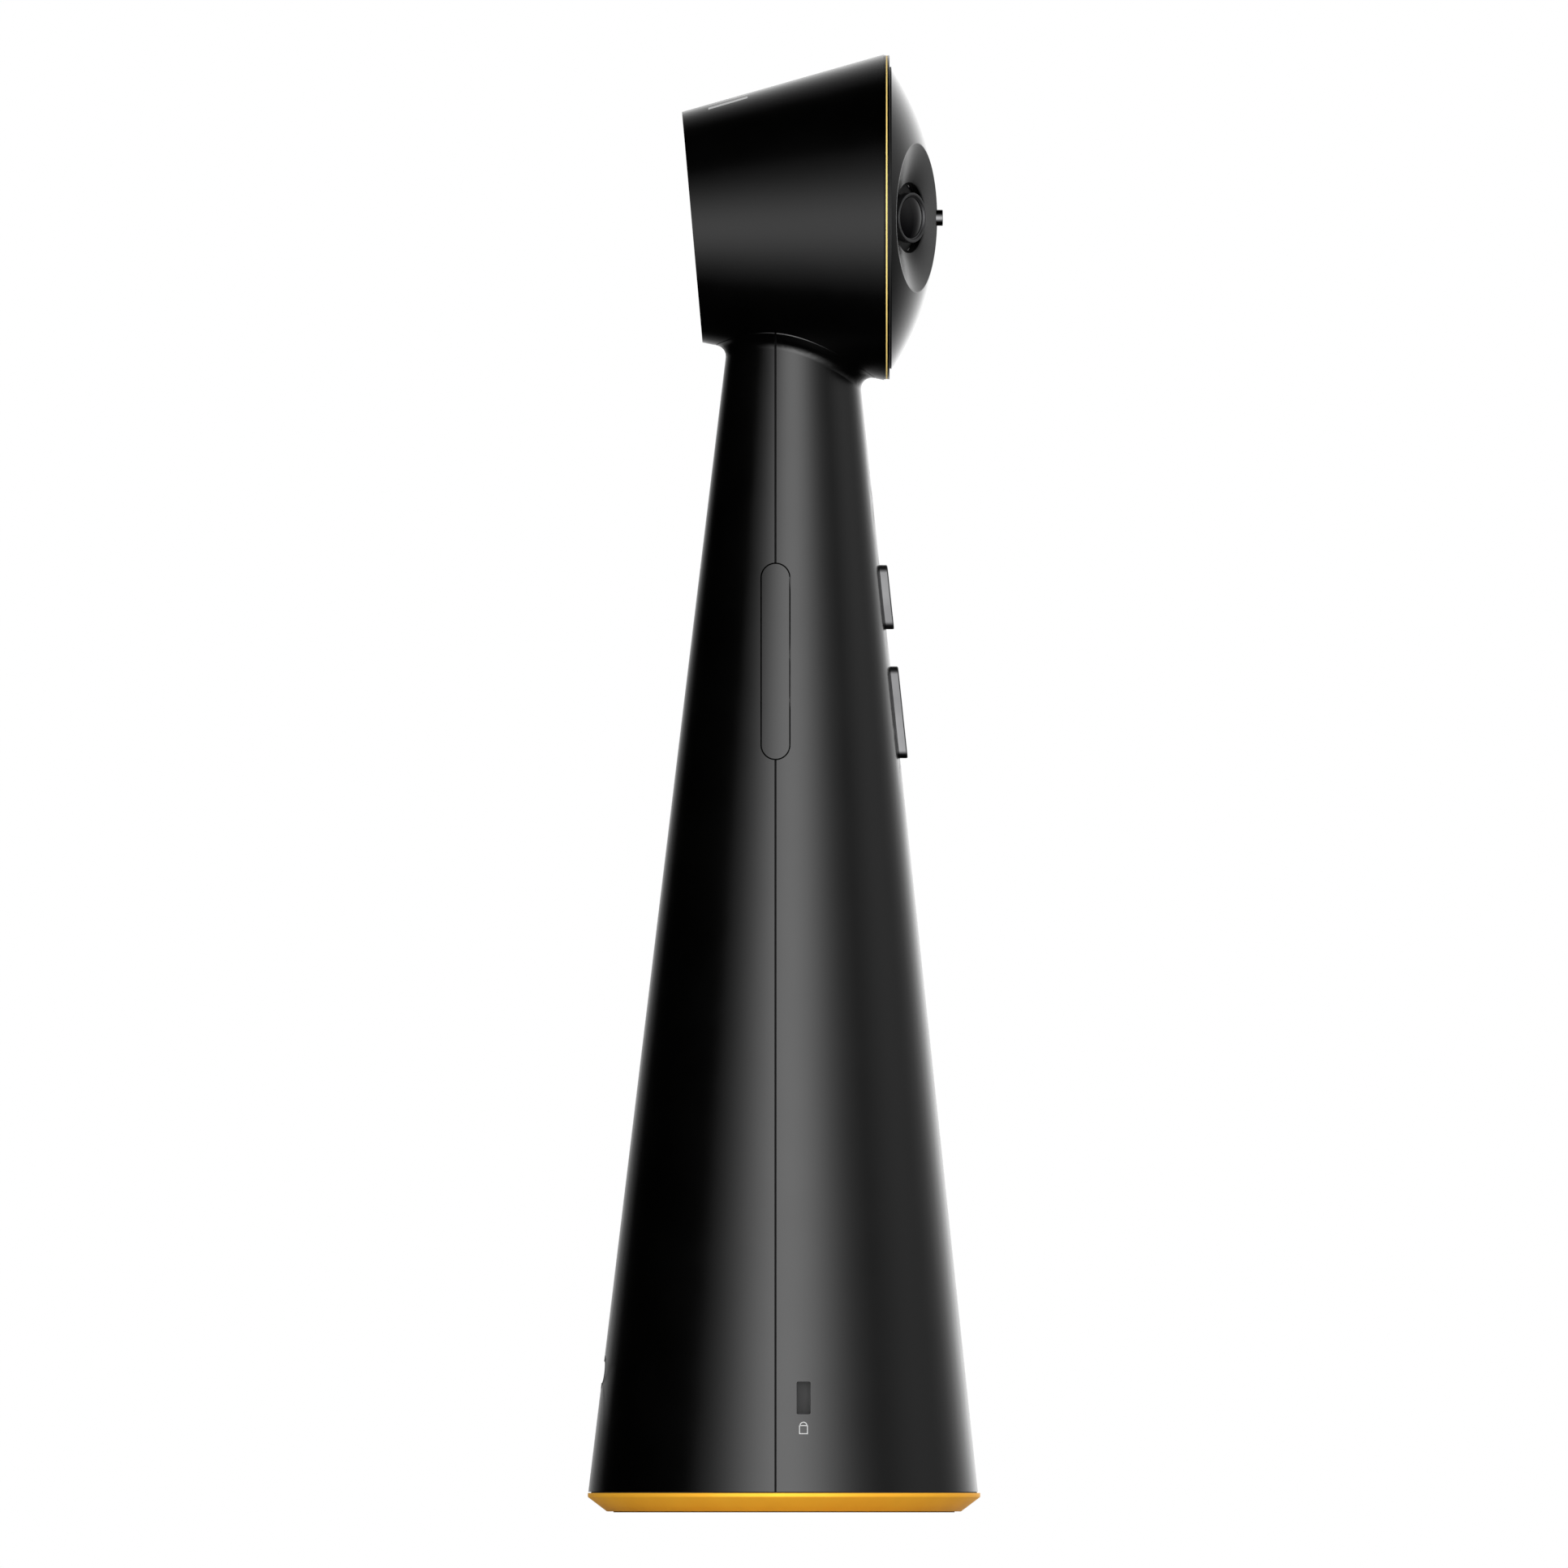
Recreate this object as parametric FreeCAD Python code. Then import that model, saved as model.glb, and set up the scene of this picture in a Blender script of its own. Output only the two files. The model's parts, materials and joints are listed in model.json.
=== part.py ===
import FreeCAD, Part
import math
import os
from FreeCAD import Placement, Rotation, Vector

# Panoramic conference camera, millimetres. +Z up, +X to the front (the lenses), origin on the
# standing surface under the middle of the base ring.

# Stem: a cone whose axis leans slightly, given by its two end circles
STEM_BASE_Z = 4.4
STEM_BASE_R = 41.7
STEM_BASE_X = -0.2
STEM_NECK_Z = 236.9
STEM_NECK_R = 15.3
STEM_NECK_X = 1.56
STEM_WALL = 2.4
SEAM_X = -1.82
SEAM_GROOVE = 0.45
SEAM_GROOVE_DEPTH = 0.8

# Neck: the stem's flared top, let into an opening in the head's underside
NECK_FILLET = 2.3
NECK_LAND_R = 17.05
NECK_LAND_X = 2.45
NECK_GAP = 0.25
NECK_BORE_R = 8.5
NECK_RING_RISE = 1.1
NECK_RING_Z = STEM_NECK_Z + NECK_RING_RISE

# Head: a cone lying on its side, with a tilted rear face
HEAD_FRONT_X = 21.4
HEAD_FRONT_R = 34.85
HEAD_CLEARANCE = 5.45
HEAD_AXIS_Z = STEM_NECK_Z + HEAD_CLEARANCE + HEAD_FRONT_R
HEAD_HALF_ANGLE = 13.77
HEAD_AXIS_TILT = 2.09
HEAD_REAR_X = -19.7
HEAD_REAR_TILT = 5.09
HEAD_WALL = 2.2
STEM_TOP_Z = HEAD_AXIS_Z - 15.2

# Rear cap
CAP_THICKNESS = 2.0
CAP_INSET = 1.2
CAP_LEDGE = 4.0
CAP_SPIGOT = 1.4
CAP_GAP = 0.12

# Front bezel, gold ring and dome
BEZEL_WIDTH = 1.2
BEZEL_R = HEAD_FRONT_R - 0.15
BEZEL_BORE_R = BEZEL_R - 5.3
BEZEL_SPIGOT_R = BEZEL_BORE_R + 1.2
BEZEL_SPIGOT_LENGTH = 4.0
GOLD_RING_OFFSET = 0.4
GOLD_RING_WIDTH = 0.35
GOLD_RING_R = BEZEL_R - 0.08
GOLD_RING_DEPTH = 0.7
DOME_RIM_R = HEAD_FRONT_R - 2.288
DOME_HEIGHT = 9.9
DOME_DROP = 0.1
DOME_SHADOW_GAP = 0.3
DOME_BASE_X = HEAD_FRONT_X + BEZEL_WIDTH + DOME_SHADOW_GAP
DOME_APEX_X = DOME_BASE_X + DOME_HEIGHT
DOME_SPHERE_R = (DOME_RIM_R ** 2 + DOME_HEIGHT ** 2) / (2 * DOME_HEIGHT)
DOME_WALL = 1.8
DOME_SKIRT_R = BEZEL_BORE_R - 0.2
DOME_SKIRT_WALL = 1.6
DOME_OPENING_REACH = 5.0

# Lens bowls and lenses, given on the right hand (-Y) side and mirrored
BOWL_R = 15.95
BOWL_Y = 15.42
BOWL_OVERSHOOT = 0.4
OPENING_R = 7.53
OPENING_ANGLE = 24.9
OPENING_X = 26.86
OPENING_Y = 13.8
LENS_ANGLE = 33.7
LENS_RING_R = 5.35
LENS_RING_WALL = 0.95
LENS_RING_LENGTH = 1.6
LENS_RING_PROUD = 0.77
LENS_BARREL_R = 5.0
LENS_BARREL_WALL = 1.0
LENS_BARREL_GAP = 1.5
LENS_GLASS_RISE = 1.1
LENS_GLASS_RECESS = 0.3
LENS_HOLDER_DEPTH = 6.0
LENS_HOLDER_SIDE = 13.0
LENS_SEAL_DEPTH = 3.9
LENS_SEAL_R = 8.0
SENSOR_DEPTH = 12.0
SENSOR_BOARD_SIDE = 15.0
SENSOR_BOARD_THICKNESS = 1.0
IMAGE_SENSOR_SIDE = 7.0
IMAGE_SENSOR_THICKNESS = 0.8

# Indicator on the ridge between the bowls
INDICATOR_R = 1.75
INDICATOR_PROUD = 1.2
INDICATOR_LENGTH = 5.0
INDICATOR_BOARD = (1.0, 5.0, 21.0)

# Lens carrier and the boards on it
CARRIER_X = 9.5
CARRIER_THICKNESS = 2.0
CARRIER_R = DOME_SKIRT_R - 0.6
CARRIER_PAD_HALF_HEIGHT = 7.5
CARRIER_PAD_Y = (-15.0, -0.9)
CARRIER_PAD_REACH = 14.0
CARRIER_LEG = (4.0, 2.0)
CARRIER_BOSS_RADIUS = CARRIER_R - 3.6
CARRIER_BOSS_ANGLES = (35.0, 145.0, 200.0, 340.0)
CARRIER_BOSS_R = 3.0
CARRIER_BOSS_LENGTH = 6.5
CARRIER_BOSS_WEB = 2.4
HEAD_BOARD = (1.6, 26.0, 20.0)
FLEX_THICKNESS = 0.3
FLEX_WAY = (12.0, 10.0)
SENSOR_FLEX_WIDTH = 6.0

# Bars on the head's top, let in flush
BAR_COUNT = 5
BAR_PITCH = 3.4
BAR_WIDTH = 1.5
BAR_X_REAR = -16.2
BAR_X_FRONT = -7.8
BAR_DEPTH = 0.4

# Base
BASE_R = STEM_BASE_R + 0.3
BASE_BOTTOM_R = BASE_R - 4.1
BASE_BAND_Z = 3.3
BASE_TOP_Z = 4.17
BASE_BORE_R = BASE_BOTTOM_R - 1.0
FOOT_PROUD = 0.2
FOOT_THICKNESS = 0.8
FOOT_R = BASE_BORE_R - 0.4
FOOT_BORE_R = 24.0
PLATE_FLANGE_R = STEM_BASE_R - STEM_WALL - 0.7
PLATE_TOP_Z = 6.4
PLATE_BOSS_R = 10.0
TRIPOD_THREAD_R = 3.175
TRIPOD_THREAD_LENGTH = 9.0
TRIPOD_INSERT_R = 6.0
TRIPOD_INSERT_LENGTH = 9.8
TRIPOD_BOTTOM_Z = 0.6
BALLAST_R = PLATE_FLANGE_R - 1.8
BALLAST_THICKNESS = 8.0
BALLAST_CLEARANCE = 0.3
SHELL_BOSS_RADIUS = PLATE_FLANGE_R - 5.6
SHELL_BOSS_R = 3.2
SHELL_BOSS_TOP_Z = 20.0
SHELL_BOSS_FLOOR = 3.0
SHELL_BOSS_ANGLES = (40.0, 140.0, 220.0, 320.0)

# Keys on the front
KEY_WIDTH = 3.5
KEY_PROUD = 1.65
KEY_GAP = 0.15
UPPER_KEY_Z = (189.0, 202.8)
LOWER_KEY_Z = (161.4, 181.1)
KEY_FLANGE = 0.8
KEY_FLANGE_THICKNESS = 1.0
KEY_FLANGE_GAP = 0.3
KEY_PLUNGER_R = 0.9
KEY_REACH = 5.0
ROCKER_END_GAP = 0.35
ROCKER_PIN_R = 0.6
ROCKER_PIN_CLEARANCE = 0.05
ROCKER_PIN_DEPTH = STEM_WALL + 1.6
ROCKER_BODY_DEPTH = ROCKER_PIN_DEPTH + 2 * ROCKER_PIN_R
CHEEK_GAP = 0.3
CHEEK_THICKNESS = 1.4
CHEEK_HEIGHT = 6.0
ROCKER_SWITCH_SPACING = 13.0
BRACKET_DEPTH = STEM_WALL + 6.8
BRACKET_THICKNESS = 1.5
BRACKET_WIDTH = 14.0
BRACKET_Z = (154.0, 210.0)
BRACKET_SCREW_INSET = 2.5
BUTTON_BOARD_THICKNESS = 1.0
BUTTON_BOARD_INSET = 6.5
SWITCH_SIZE = (1.4, 3.0, 3.4)
SWITCH_GAP = 0.65

# Microphones in the stem's front, above the keys
MIC_Z = (213.0, 227.0)
MIC_HOLE_R = 0.6
MIC_HOLE_INSET = 3.5
MIC_BOARD_WIDTH = 8.0
MIC_BOARD_DEPTH = STEM_WALL + 2.0
MIC_BOARD_THICKNESS = 1.0
MIC_CAN = (1.1, 3.0, 4.0)

# Status windows on the seam, both sides
WINDOW_Z = (161.3, 203.0)
WINDOW_WIDTH = 5.85
WINDOW_GAP = 0.3
WINDOW_FLANGE = 1.3
WINDOW_FLANGE_THICKNESS = 1.0
WINDOW_POST_R = 1.0
WINDOW_POST_INSET = 4.0
LIGHT_BOARD = (0.8, 5.0, 38.0)
LIGHT_BOARD_GAP = 1.2
LAMP_COUNT = 5
LAMP_PITCH = 6.0
LAMP = (0.5, 1.6)

# Security slot and its plate
SLOT_X = 4.19
SLOT_Z = 24.5
SLOT_WIDTH = 3.0
SLOT_HEIGHT = 7.0
SLOT_CORNER_R = 0.35
LOCK_SKIN = 0.9
LOCK_PLATE_MARGIN = (4.0, 4.5)
LOCK_CUP = (8.0, 6.0, 10.0)
LOCK_CUP_WALL = 1.0
LOCK_TOP_Z = SLOT_Z + 2 * SLOT_HEIGHT

# Port in the rear
PORT_Z = 30.0
PORT_POCKET = (1.0, 10.2, 4.6)
PORT_WALL = 1.3
PORT_BACK = 2.0
USB_SIZE = (7.3, 8.94, 3.26)
USB_SHELL = 0.3
USB_TONGUE = (1.0, 6.54, 0.7)
PORT_BOARD = (17.0, 13.2, 1.2)
PORT_FLEX_MIDDLE = ((-9.0, 29.37), (5.0, 35.0))
PORT_FLEX_BEND = 5.0

# Spine and main board
SPINE_X = 0.5
SPINE_THICKNESS = 2.0
SPINE_TOP_GAP = 0.3
SPINE_BASE_HALF = 24.0
SPINE_TOP_HALF = 7.5
SPINE_FOOT = (11.5, 40.0, 2.0)
SPINE_WINDOW_Z = (26.0, 42.0)
SPINE_SCREW_Y = 15.0
SPINE_SCREW_X = 6.9
STANDOFF_R = 2.5
STANDOFF_LENGTH = 3.0
MAIN_BOARD = (1.6, 34.0, 80.0)
MAIN_BOARD_Z = 45.0
MAIN_BOARD_SCREW_INSET = 3.0
PROCESSOR = (1.4, 14.0, 14.0)
PROCESSOR_Z = 88.0
THERMAL_PAD_THICKNESS = 0.5
MEMORY = (1.0, 9.0, 11.0)
MEMORY_Z = 64.0
MEMORY_Y = 8.0
HEAT_SINK_BASE = (2.0, 26.0, 30.0)
HEAT_SINK_FIN_LENGTH = 7.0
HEAT_SINK_FINS = 7
HEAT_SINK_FIN_THICKNESS = 1.2
HEAT_SINK_FOOT = (4.0, 10.0, 12.0)
CONNECTOR = (2.0, 3.6)
CONNECTOR_MARGIN = 2.0
RIBBON_WIDTH = 6.0
RIBBON_BEND = 12.0
RIBBON_TUCK = 1.0
RIBBON_SPINE_GAP = 0.8
RIBBON_NECK_Z = (NECK_RING_Z - 33.0, NECK_RING_Z + 16.0)
BUTTON_FLEX_Y = (3.6, 7.0)

# Neck bracket
SADDLE_R = NECK_LAND_R + 3.95
SADDLE_HOLE_R = 6.0
SADDLE_REAR_GAP = 5.5
SADDLE_TOP_Z = HEAD_AXIS_Z - 12.0
UPRIGHT = (2.2, 16.0)
UPRIGHT_TOP_Z = HEAD_AXIS_Z - 13.2
NECK_SCREW_RADIUS = 11.2
NECK_SCREW_ANGLES = (68.0, 145.0, 215.0, 292.0)
NECK_SCREW_LENGTH = 10.0
NECK_SEAT_LIFT = 1.425
BRACKET_SCREW_Z = HEAD_AXIS_Z - 18.2
BRACKET_SCREW_Y = 5.0

# Screws: shank radius, head radius, head height
M3 = (1.5, 2.8, 1.6)
M2_5 = (1.25, 2.2, 1.4)
M2 = (1.0, 1.9, 1.2)
M2_5_LENGTH = 6.0
SCREW_HOLE_GAP = 0.1
SCREW_HEAD_GAP = 0.2

# General: a fitting gap, the spare length of a cutting tool, and two reaches past everything
FIT = 0.05
OVERCUT = 1.0
WIDE = 60.0
FAR = 500.0
UP = Vector(0, 0, 1)
FORWARD = Vector(1, 0, 0)
SIDEWAYS = Vector(0, 1, 0)


# Shape helpers

def box(x, y, z):
    """Box from three (low, high) pairs."""
    return Part.makeBox(x[1] - x[0], y[1] - y[0], z[1] - z[0], Vector(x[0], y[0], z[0]))


def centred(width, middle=0.0):
    """The (low, high) pair of a width about a middle."""
    return (middle - width / 2, middle + width / 2)


def rod(r, start, direction, length):
    return Part.makeCylinder(r, length, start, direction)


def tube(r_outer, r_inner, start, direction, length):
    return rod(r_outer, start, direction, length).cut(rod(r_inner, start, direction, length))


def joined(shapes):
    first = shapes[0]
    return first.fuse(shapes[1:]).removeSplitter() if len(shapes) > 1 else first


def mirrored(shape):
    """The same piece on the other side of the middle plane."""
    return shape.mirror(Vector(0, 0, 0), SIDEWAYS)


def stadium_along_x(z_low, z_high, width, x):
    """Prism along X whose outline in YZ has half-round ends."""
    r = width / 2
    start = x[0]
    length = x[1] - x[0]
    body = box(x, centred(width), (z_low + r, z_high - r))
    ends = [rod(r, Vector(start, 0, z), FORWARD, length) for z in (z_low + r, z_high - r)]
    return joined([body] + ends)


def stadium_along_y(z_low, z_high, width, y, x_middle):
    """Prism along Y whose outline in XZ has half-round ends."""
    r = width / 2
    body = box(centred(width, x_middle), y, (z_low + r, z_high - r))
    ends = [rod(r, Vector(x_middle, y[0], z), SIDEWAYS, y[1] - y[0]) for z in (z_low + r, z_high - r)]
    return joined([body] + ends)


def stadium_across(width, height, x, z_middle):
    """Prism along X whose outline is level: its half-round ends lie at both hands."""
    upright = stadium_along_x(z_middle - width / 2, z_middle + width / 2, height, x)
    upright.rotate(Vector(0, 0, z_middle), FORWARD, 90)
    return upright


def screw(sizes, seat, direction, length):
    """Screw with a flat round head: direction points from the head down the shank."""
    shank_r, head_r, head_height = sizes
    back = Vector(direction).multiply(-head_height)
    head = rod(head_r, seat.add(back), direction, head_height)
    return joined([head, rod(shank_r, seat, direction, length)])


def ribbon(points, width, y_middle=0.0):
    """Flat flex of FLEX_THICKNESS along a polyline of (x, z) points."""
    half = FLEX_THICKNESS / 2
    sides = ([], [])
    for index, (x, z) in enumerate(points):
        before = points[max(index - 1, 0)]
        after = points[min(index + 1, len(points) - 1)]
        incoming = Vector(x - before[0], 0, z - before[1])
        outgoing = Vector(after[0] - x, 0, after[1] - z)
        tangents = [v.normalize() for v in (incoming, outgoing) if v.Length > 0]
        bisector = tangents[0].add(tangents[-1]).normalize()
        reach = half / bisector.dot(tangents[0])
        normal = Vector(-bisector.z, 0, bisector.x).multiply(reach)
        sides[0].append(Vector(x, 0, z).add(normal))
        sides[1].append(Vector(x, 0, z).sub(normal))
    outline = sides[0] + sides[1][::-1]
    face = Part.Face(Part.makePolygon(outline + outline[:1]))
    solid = face.extrude(Vector(0, width, 0))
    solid.translate(Vector(0, y_middle - width / 2, 0))
    return solid


class EdgeCone:
    """Right cone given by its two outlines in the XZ plane, each a pair of (x, z) points."""

    def __init__(self, edge_a, edge_b):
        (ax, az), (bx, bz) = edge_a
        (cx, cz), (dx, dz) = edge_b
        ux, uz = bx - ax, bz - az
        vx, vz = dx - cx, dz - cz
        t = ((cx - ax) * vz - (cz - az) * vx) / (ux * vz - uz * vx)
        self.apex = Vector(ax + t * ux, 0, az + t * uz)
        to_a = Vector(ax, 0, az).sub(self.apex).normalize()
        to_c = Vector(cx, 0, cz).sub(self.apex).normalize()
        self.axis = to_a.add(to_c).normalize()
        self.half_angle = to_a.getAngle(to_c) / 2

    def solid(self, inset, near, far):
        """Cone set in by a wall thickness, from near to far along its axis from the outer apex."""
        tip = self.apex.add(Vector(self.axis).multiply(inset / math.sin(self.half_angle)))
        shift = inset / math.sin(self.half_angle)
        slope = math.tan(self.half_angle)
        r_near = max((near - shift) * slope, 0.0)
        start = max(near - shift, 0.0)
        length = far - shift - start
        base = tip.add(Vector(self.axis).multiply(start))
        return Part.makeCone(r_near, (far - shift) * slope, length, base, self.axis)


# Stem geometry

def stem_radius(z):
    taper = (STEM_BASE_R - STEM_NECK_R) / (STEM_NECK_Z - STEM_BASE_Z)
    return STEM_BASE_R - taper * (z - STEM_BASE_Z)


def stem_centre(z):
    lean = (STEM_NECK_X - STEM_BASE_X) / (STEM_NECK_Z - STEM_BASE_Z)
    return STEM_BASE_X + lean * (z - STEM_BASE_Z)


def stem_front(z):
    return stem_centre(z) + stem_radius(z)


def stem_rear(z):
    return stem_centre(z) - stem_radius(z)


STEM_CONE = EdgeCone(
    ((stem_rear(STEM_BASE_Z), STEM_BASE_Z), (stem_rear(STEM_NECK_Z), STEM_NECK_Z)),
    ((stem_front(STEM_BASE_Z), STEM_BASE_Z), (stem_front(STEM_NECK_Z), STEM_NECK_Z)),
)
FRONT_RUN = stem_front(STEM_BASE_Z) - stem_front(STEM_NECK_Z)
FRONT_LEAN = math.degrees(math.atan2(FRONT_RUN, STEM_NECK_Z - STEM_BASE_Z))
HEAD_TOP_ANGLE = math.radians(HEAD_HALF_ANGLE + HEAD_AXIS_TILT)
HEAD_BOTTOM_ANGLE = math.radians(HEAD_HALF_ANGLE - HEAD_AXIS_TILT)
HEAD_LENGTH = HEAD_FRONT_X - HEAD_REAR_X


def stem_solid(inset=0.0, z_low=STEM_BASE_Z, z_high=STEM_TOP_Z):
    """The stem's cone between two level planes, set in by a wall thickness."""
    reach = STEM_CONE.apex.z
    cone = STEM_CONE.solid(inset, reach - z_high - STEM_NECK_R, reach - z_low + STEM_NECK_R)
    return cone.common(box((-FAR, FAR), (-FAR, FAR), (z_low, z_high)))


# Head geometry

HEAD_CONE = EdgeCone(
    (
        (HEAD_FRONT_X, HEAD_AXIS_Z + HEAD_FRONT_R),
        (HEAD_REAR_X, HEAD_AXIS_Z + HEAD_FRONT_R - HEAD_LENGTH * math.tan(HEAD_TOP_ANGLE)),
    ),
    (
        (HEAD_FRONT_X, HEAD_AXIS_Z - HEAD_FRONT_R),
        (HEAD_REAR_X, HEAD_AXIS_Z - HEAD_FRONT_R + HEAD_LENGTH * math.tan(HEAD_BOTTOM_ANGLE)),
    ),
)


def rear_block(depth):
    """Everything in front of the plane that lies depth inside the head's tilted rear face."""
    middle_z = HEAD_AXIS_Z + HEAD_LENGTH * (math.tan(HEAD_BOTTOM_ANGLE) - math.tan(HEAD_TOP_ANGLE)) / 2
    block = Part.makeBox(FAR, FAR, FAR, Vector(depth, -FAR / 2, -FAR / 2))
    tilt = Rotation(SIDEWAYS, -HEAD_REAR_TILT)
    block.Placement = Placement(Vector(HEAD_REAR_X, 0, middle_z), tilt).multiply(block.Placement)
    return block


def head_solid(inset=0.0, rear_depth=0.0, front_x=HEAD_FRONT_X):
    """The head's cone between a plane inside its rear face and a front plane."""
    near = HEAD_LENGTH / 2
    cone = HEAD_CONE.solid(inset, near, HEAD_FRONT_X - HEAD_CONE.apex.x + near)
    slab = box((-FAR, front_x), (-FAR, FAR), (-FAR, FAR))
    return cone.common(slab).common(rear_block(rear_depth))


def neck_cylinder(r, z_low=NECK_RING_Z - OVERCUT, z_high=HEAD_AXIS_Z):
    return rod(r, Vector(NECK_LAND_X, 0, z_low), UP, z_high - z_low)


def envelope():
    """Stem and head as one skin, with the hollow fillet where they meet."""
    whole = stem_solid().fuse(head_solid()).removeSplitter()
    seam_edges = []
    for edge in whole.Edges:
        low, high = edge.BoundBox.ZMin, edge.BoundBox.ZMax
        narrow = max(abs(edge.BoundBox.XMin), abs(edge.BoundBox.XMax)) < NECK_LAND_R
        if low > STEM_NECK_Z and high < STEM_TOP_Z and narrow:
            seam_edges.append(edge)
    return whole.makeFillet(NECK_FILLET, seam_edges)


# Frames on sloping surfaces

def front_frame(z):
    """Placement whose +X leaves the stem's front line squarely and whose +Z climbs along it."""
    return Placement(Vector(stem_front(z), 0, z), Rotation(SIDEWAYS, -FRONT_LEAN))


def placed(shape, frame):
    copy = shape.copy()
    copy.Placement = frame.multiply(copy.Placement)
    return copy


def front_slab(depth_near, depth_far):
    """Space between two planes parallel to the stem's front line; depths are measured inwards."""
    middle = (BRACKET_Z[0] + BRACKET_Z[1]) / 2
    return placed(box((-depth_far, -depth_near), (-WIDE, WIDE), (-WIDE, WIDE)), front_frame(middle))


def lens_direction():
    return normal_at(LENS_ANGLE)


def lens_point(depth):
    """Point on the right lens's axis, depth behind the middle of its front ring."""
    return lens_opening_centre().add(lens_direction().multiply(LENS_RING_PROUD - depth))


def lens_rod(r, depth, length):
    """Cylinder on the right lens's axis, from depth backwards."""
    return rod(r, lens_point(depth + length), lens_direction(), length)


def lens_box(depth, thickness, width, height):
    """Box squared to the right lens's axis, from depth backwards."""
    block = box((-thickness, 0), centred(width), centred(height))
    return placed(block, Placement(lens_point(depth), Rotation(UP, -LENS_ANGLE)))


# Base

def base_ring():
    outline = [
        Vector(BASE_BORE_R, 0, FOOT_PROUD),
        Vector(BASE_BOTTOM_R, 0, FOOT_PROUD),
        Vector(BASE_R, 0, BASE_BAND_Z),
        Vector(BASE_R, 0, BASE_TOP_Z),
        Vector(BASE_BORE_R, 0, BASE_TOP_Z),
    ]
    face = Part.Face(Part.makePolygon(outline + outline[:1]))
    return face.revolve(Vector(0, 0, 0), UP, 360)


def shell_boss_points(z):
    points = []
    for angle in SHELL_BOSS_ANGLES:
        a = math.radians(angle)
        points.append(Vector(SHELL_BOSS_RADIUS * math.cos(a), SHELL_BOSS_RADIUS * math.sin(a), z))
    return points


def base_plate():
    """Cast floor: its flange lies on the gold ring, and the shells screw down onto it."""
    lower = rod(BASE_BORE_R - FIT, Vector(0, 0, FOOT_THICKNESS), UP, BASE_TOP_Z - FOOT_THICKNESS)
    flange = rod(PLATE_FLANGE_R, Vector(0, 0, BASE_TOP_Z), UP, PLATE_TOP_Z - BASE_TOP_Z)
    boss_height = TRIPOD_BOTTOM_Z + TRIPOD_INSERT_LENGTH - PLATE_TOP_Z
    boss = rod(PLATE_BOSS_R, Vector(0, 0, PLATE_TOP_Z), UP, boss_height)
    plate = joined([lower, flange, boss])
    plate = plate.cut(rod(TRIPOD_INSERT_R, Vector(0, 0, 0), UP, TRIPOD_BOTTOM_Z + TRIPOD_INSERT_LENGTH))
    for point in shell_boss_points(FOOT_THICKNESS):
        plate = plate.cut(rod(M3[1] + SCREW_HEAD_GAP, point, UP, M3[2] + SCREW_HEAD_GAP))
        plate = plate.cut(rod(M3[0] + SCREW_HOLE_GAP, point, UP, PLATE_TOP_Z))
    return plate.cut(joined(spine_screws()))


def rubber_foot():
    return tube(FOOT_R, FOOT_BORE_R, Vector(0, 0, 0), UP, FOOT_THICKNESS)


def tripod_insert():
    body = rod(TRIPOD_INSERT_R, Vector(0, 0, TRIPOD_BOTTOM_Z), UP, TRIPOD_INSERT_LENGTH)
    return body.cut(rod(TRIPOD_THREAD_R, Vector(0, 0, TRIPOD_BOTTOM_Z), UP, TRIPOD_THREAD_LENGTH))


def ballast_weight():
    body = rod(BALLAST_R, Vector(0, 0, PLATE_TOP_Z), UP, BALLAST_THICKNESS)
    body = body.cut(rod(PLATE_BOSS_R + BALLAST_CLEARANCE, Vector(0, 0, 0), UP, SHELL_BOSS_TOP_Z))
    notch_half = SHELL_BOSS_R + BALLAST_CLEARANCE
    for angle in SHELL_BOSS_ANGLES:
        slot = box((SHELL_BOSS_RADIUS, BASE_R), (-notch_half, notch_half), (0, SHELL_BOSS_TOP_Z))
        notch = joined([slot, rod(notch_half, Vector(SHELL_BOSS_RADIUS, 0, 0), UP, SHELL_BOSS_TOP_Z)])
        notch.rotate(Vector(0, 0, 0), UP, angle)
        body = body.cut(notch)
    return body.cut(joined(spine_screws()))


def base_screws():
    seat_z = FOOT_THICKNESS + M3[2] + SCREW_HEAD_GAP
    length = SHELL_BOSS_TOP_Z - SHELL_BOSS_FLOOR - seat_z
    return [screw(M3, point, UP, length) for point in shell_boss_points(seat_z)]


# Stem shells

def shell_bosses():
    """Screw bosses at the foot of the shells, each tied to the wall by a web."""
    height = SHELL_BOSS_TOP_Z - PLATE_TOP_Z
    bosses = []
    for angle in SHELL_BOSS_ANGLES:
        post = rod(SHELL_BOSS_R, Vector(SHELL_BOSS_RADIUS, 0, PLATE_TOP_Z), UP, height)
        web = box((SHELL_BOSS_RADIUS, BASE_R), centred(SHELL_BOSS_R), (PLATE_TOP_Z, SHELL_BOSS_TOP_Z))
        boss = joined([post, web])
        boss.rotate(Vector(0, 0, 0), UP, angle)
        bosses.append(boss)
    return joined(bosses).common(stem_solid(STEM_WALL / 2))


def bracket_boss_points():
    return (BRACKET_Z[0] + BRACKET_SCREW_INSET, BRACKET_Z[1] - BRACKET_SCREW_INSET)


def bracket_bosses():
    """Posts inside the front wall that carry the button bracket."""
    posts = []
    for z in bracket_boss_points():
        post = rod(M2_5[1], Vector(-BRACKET_DEPTH, 0, 0), FORWARD, BRACKET_DEPTH)
        posts.append(placed(post, front_frame(z)))
    return joined(posts).common(stem_solid(STEM_WALL / 2))


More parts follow.
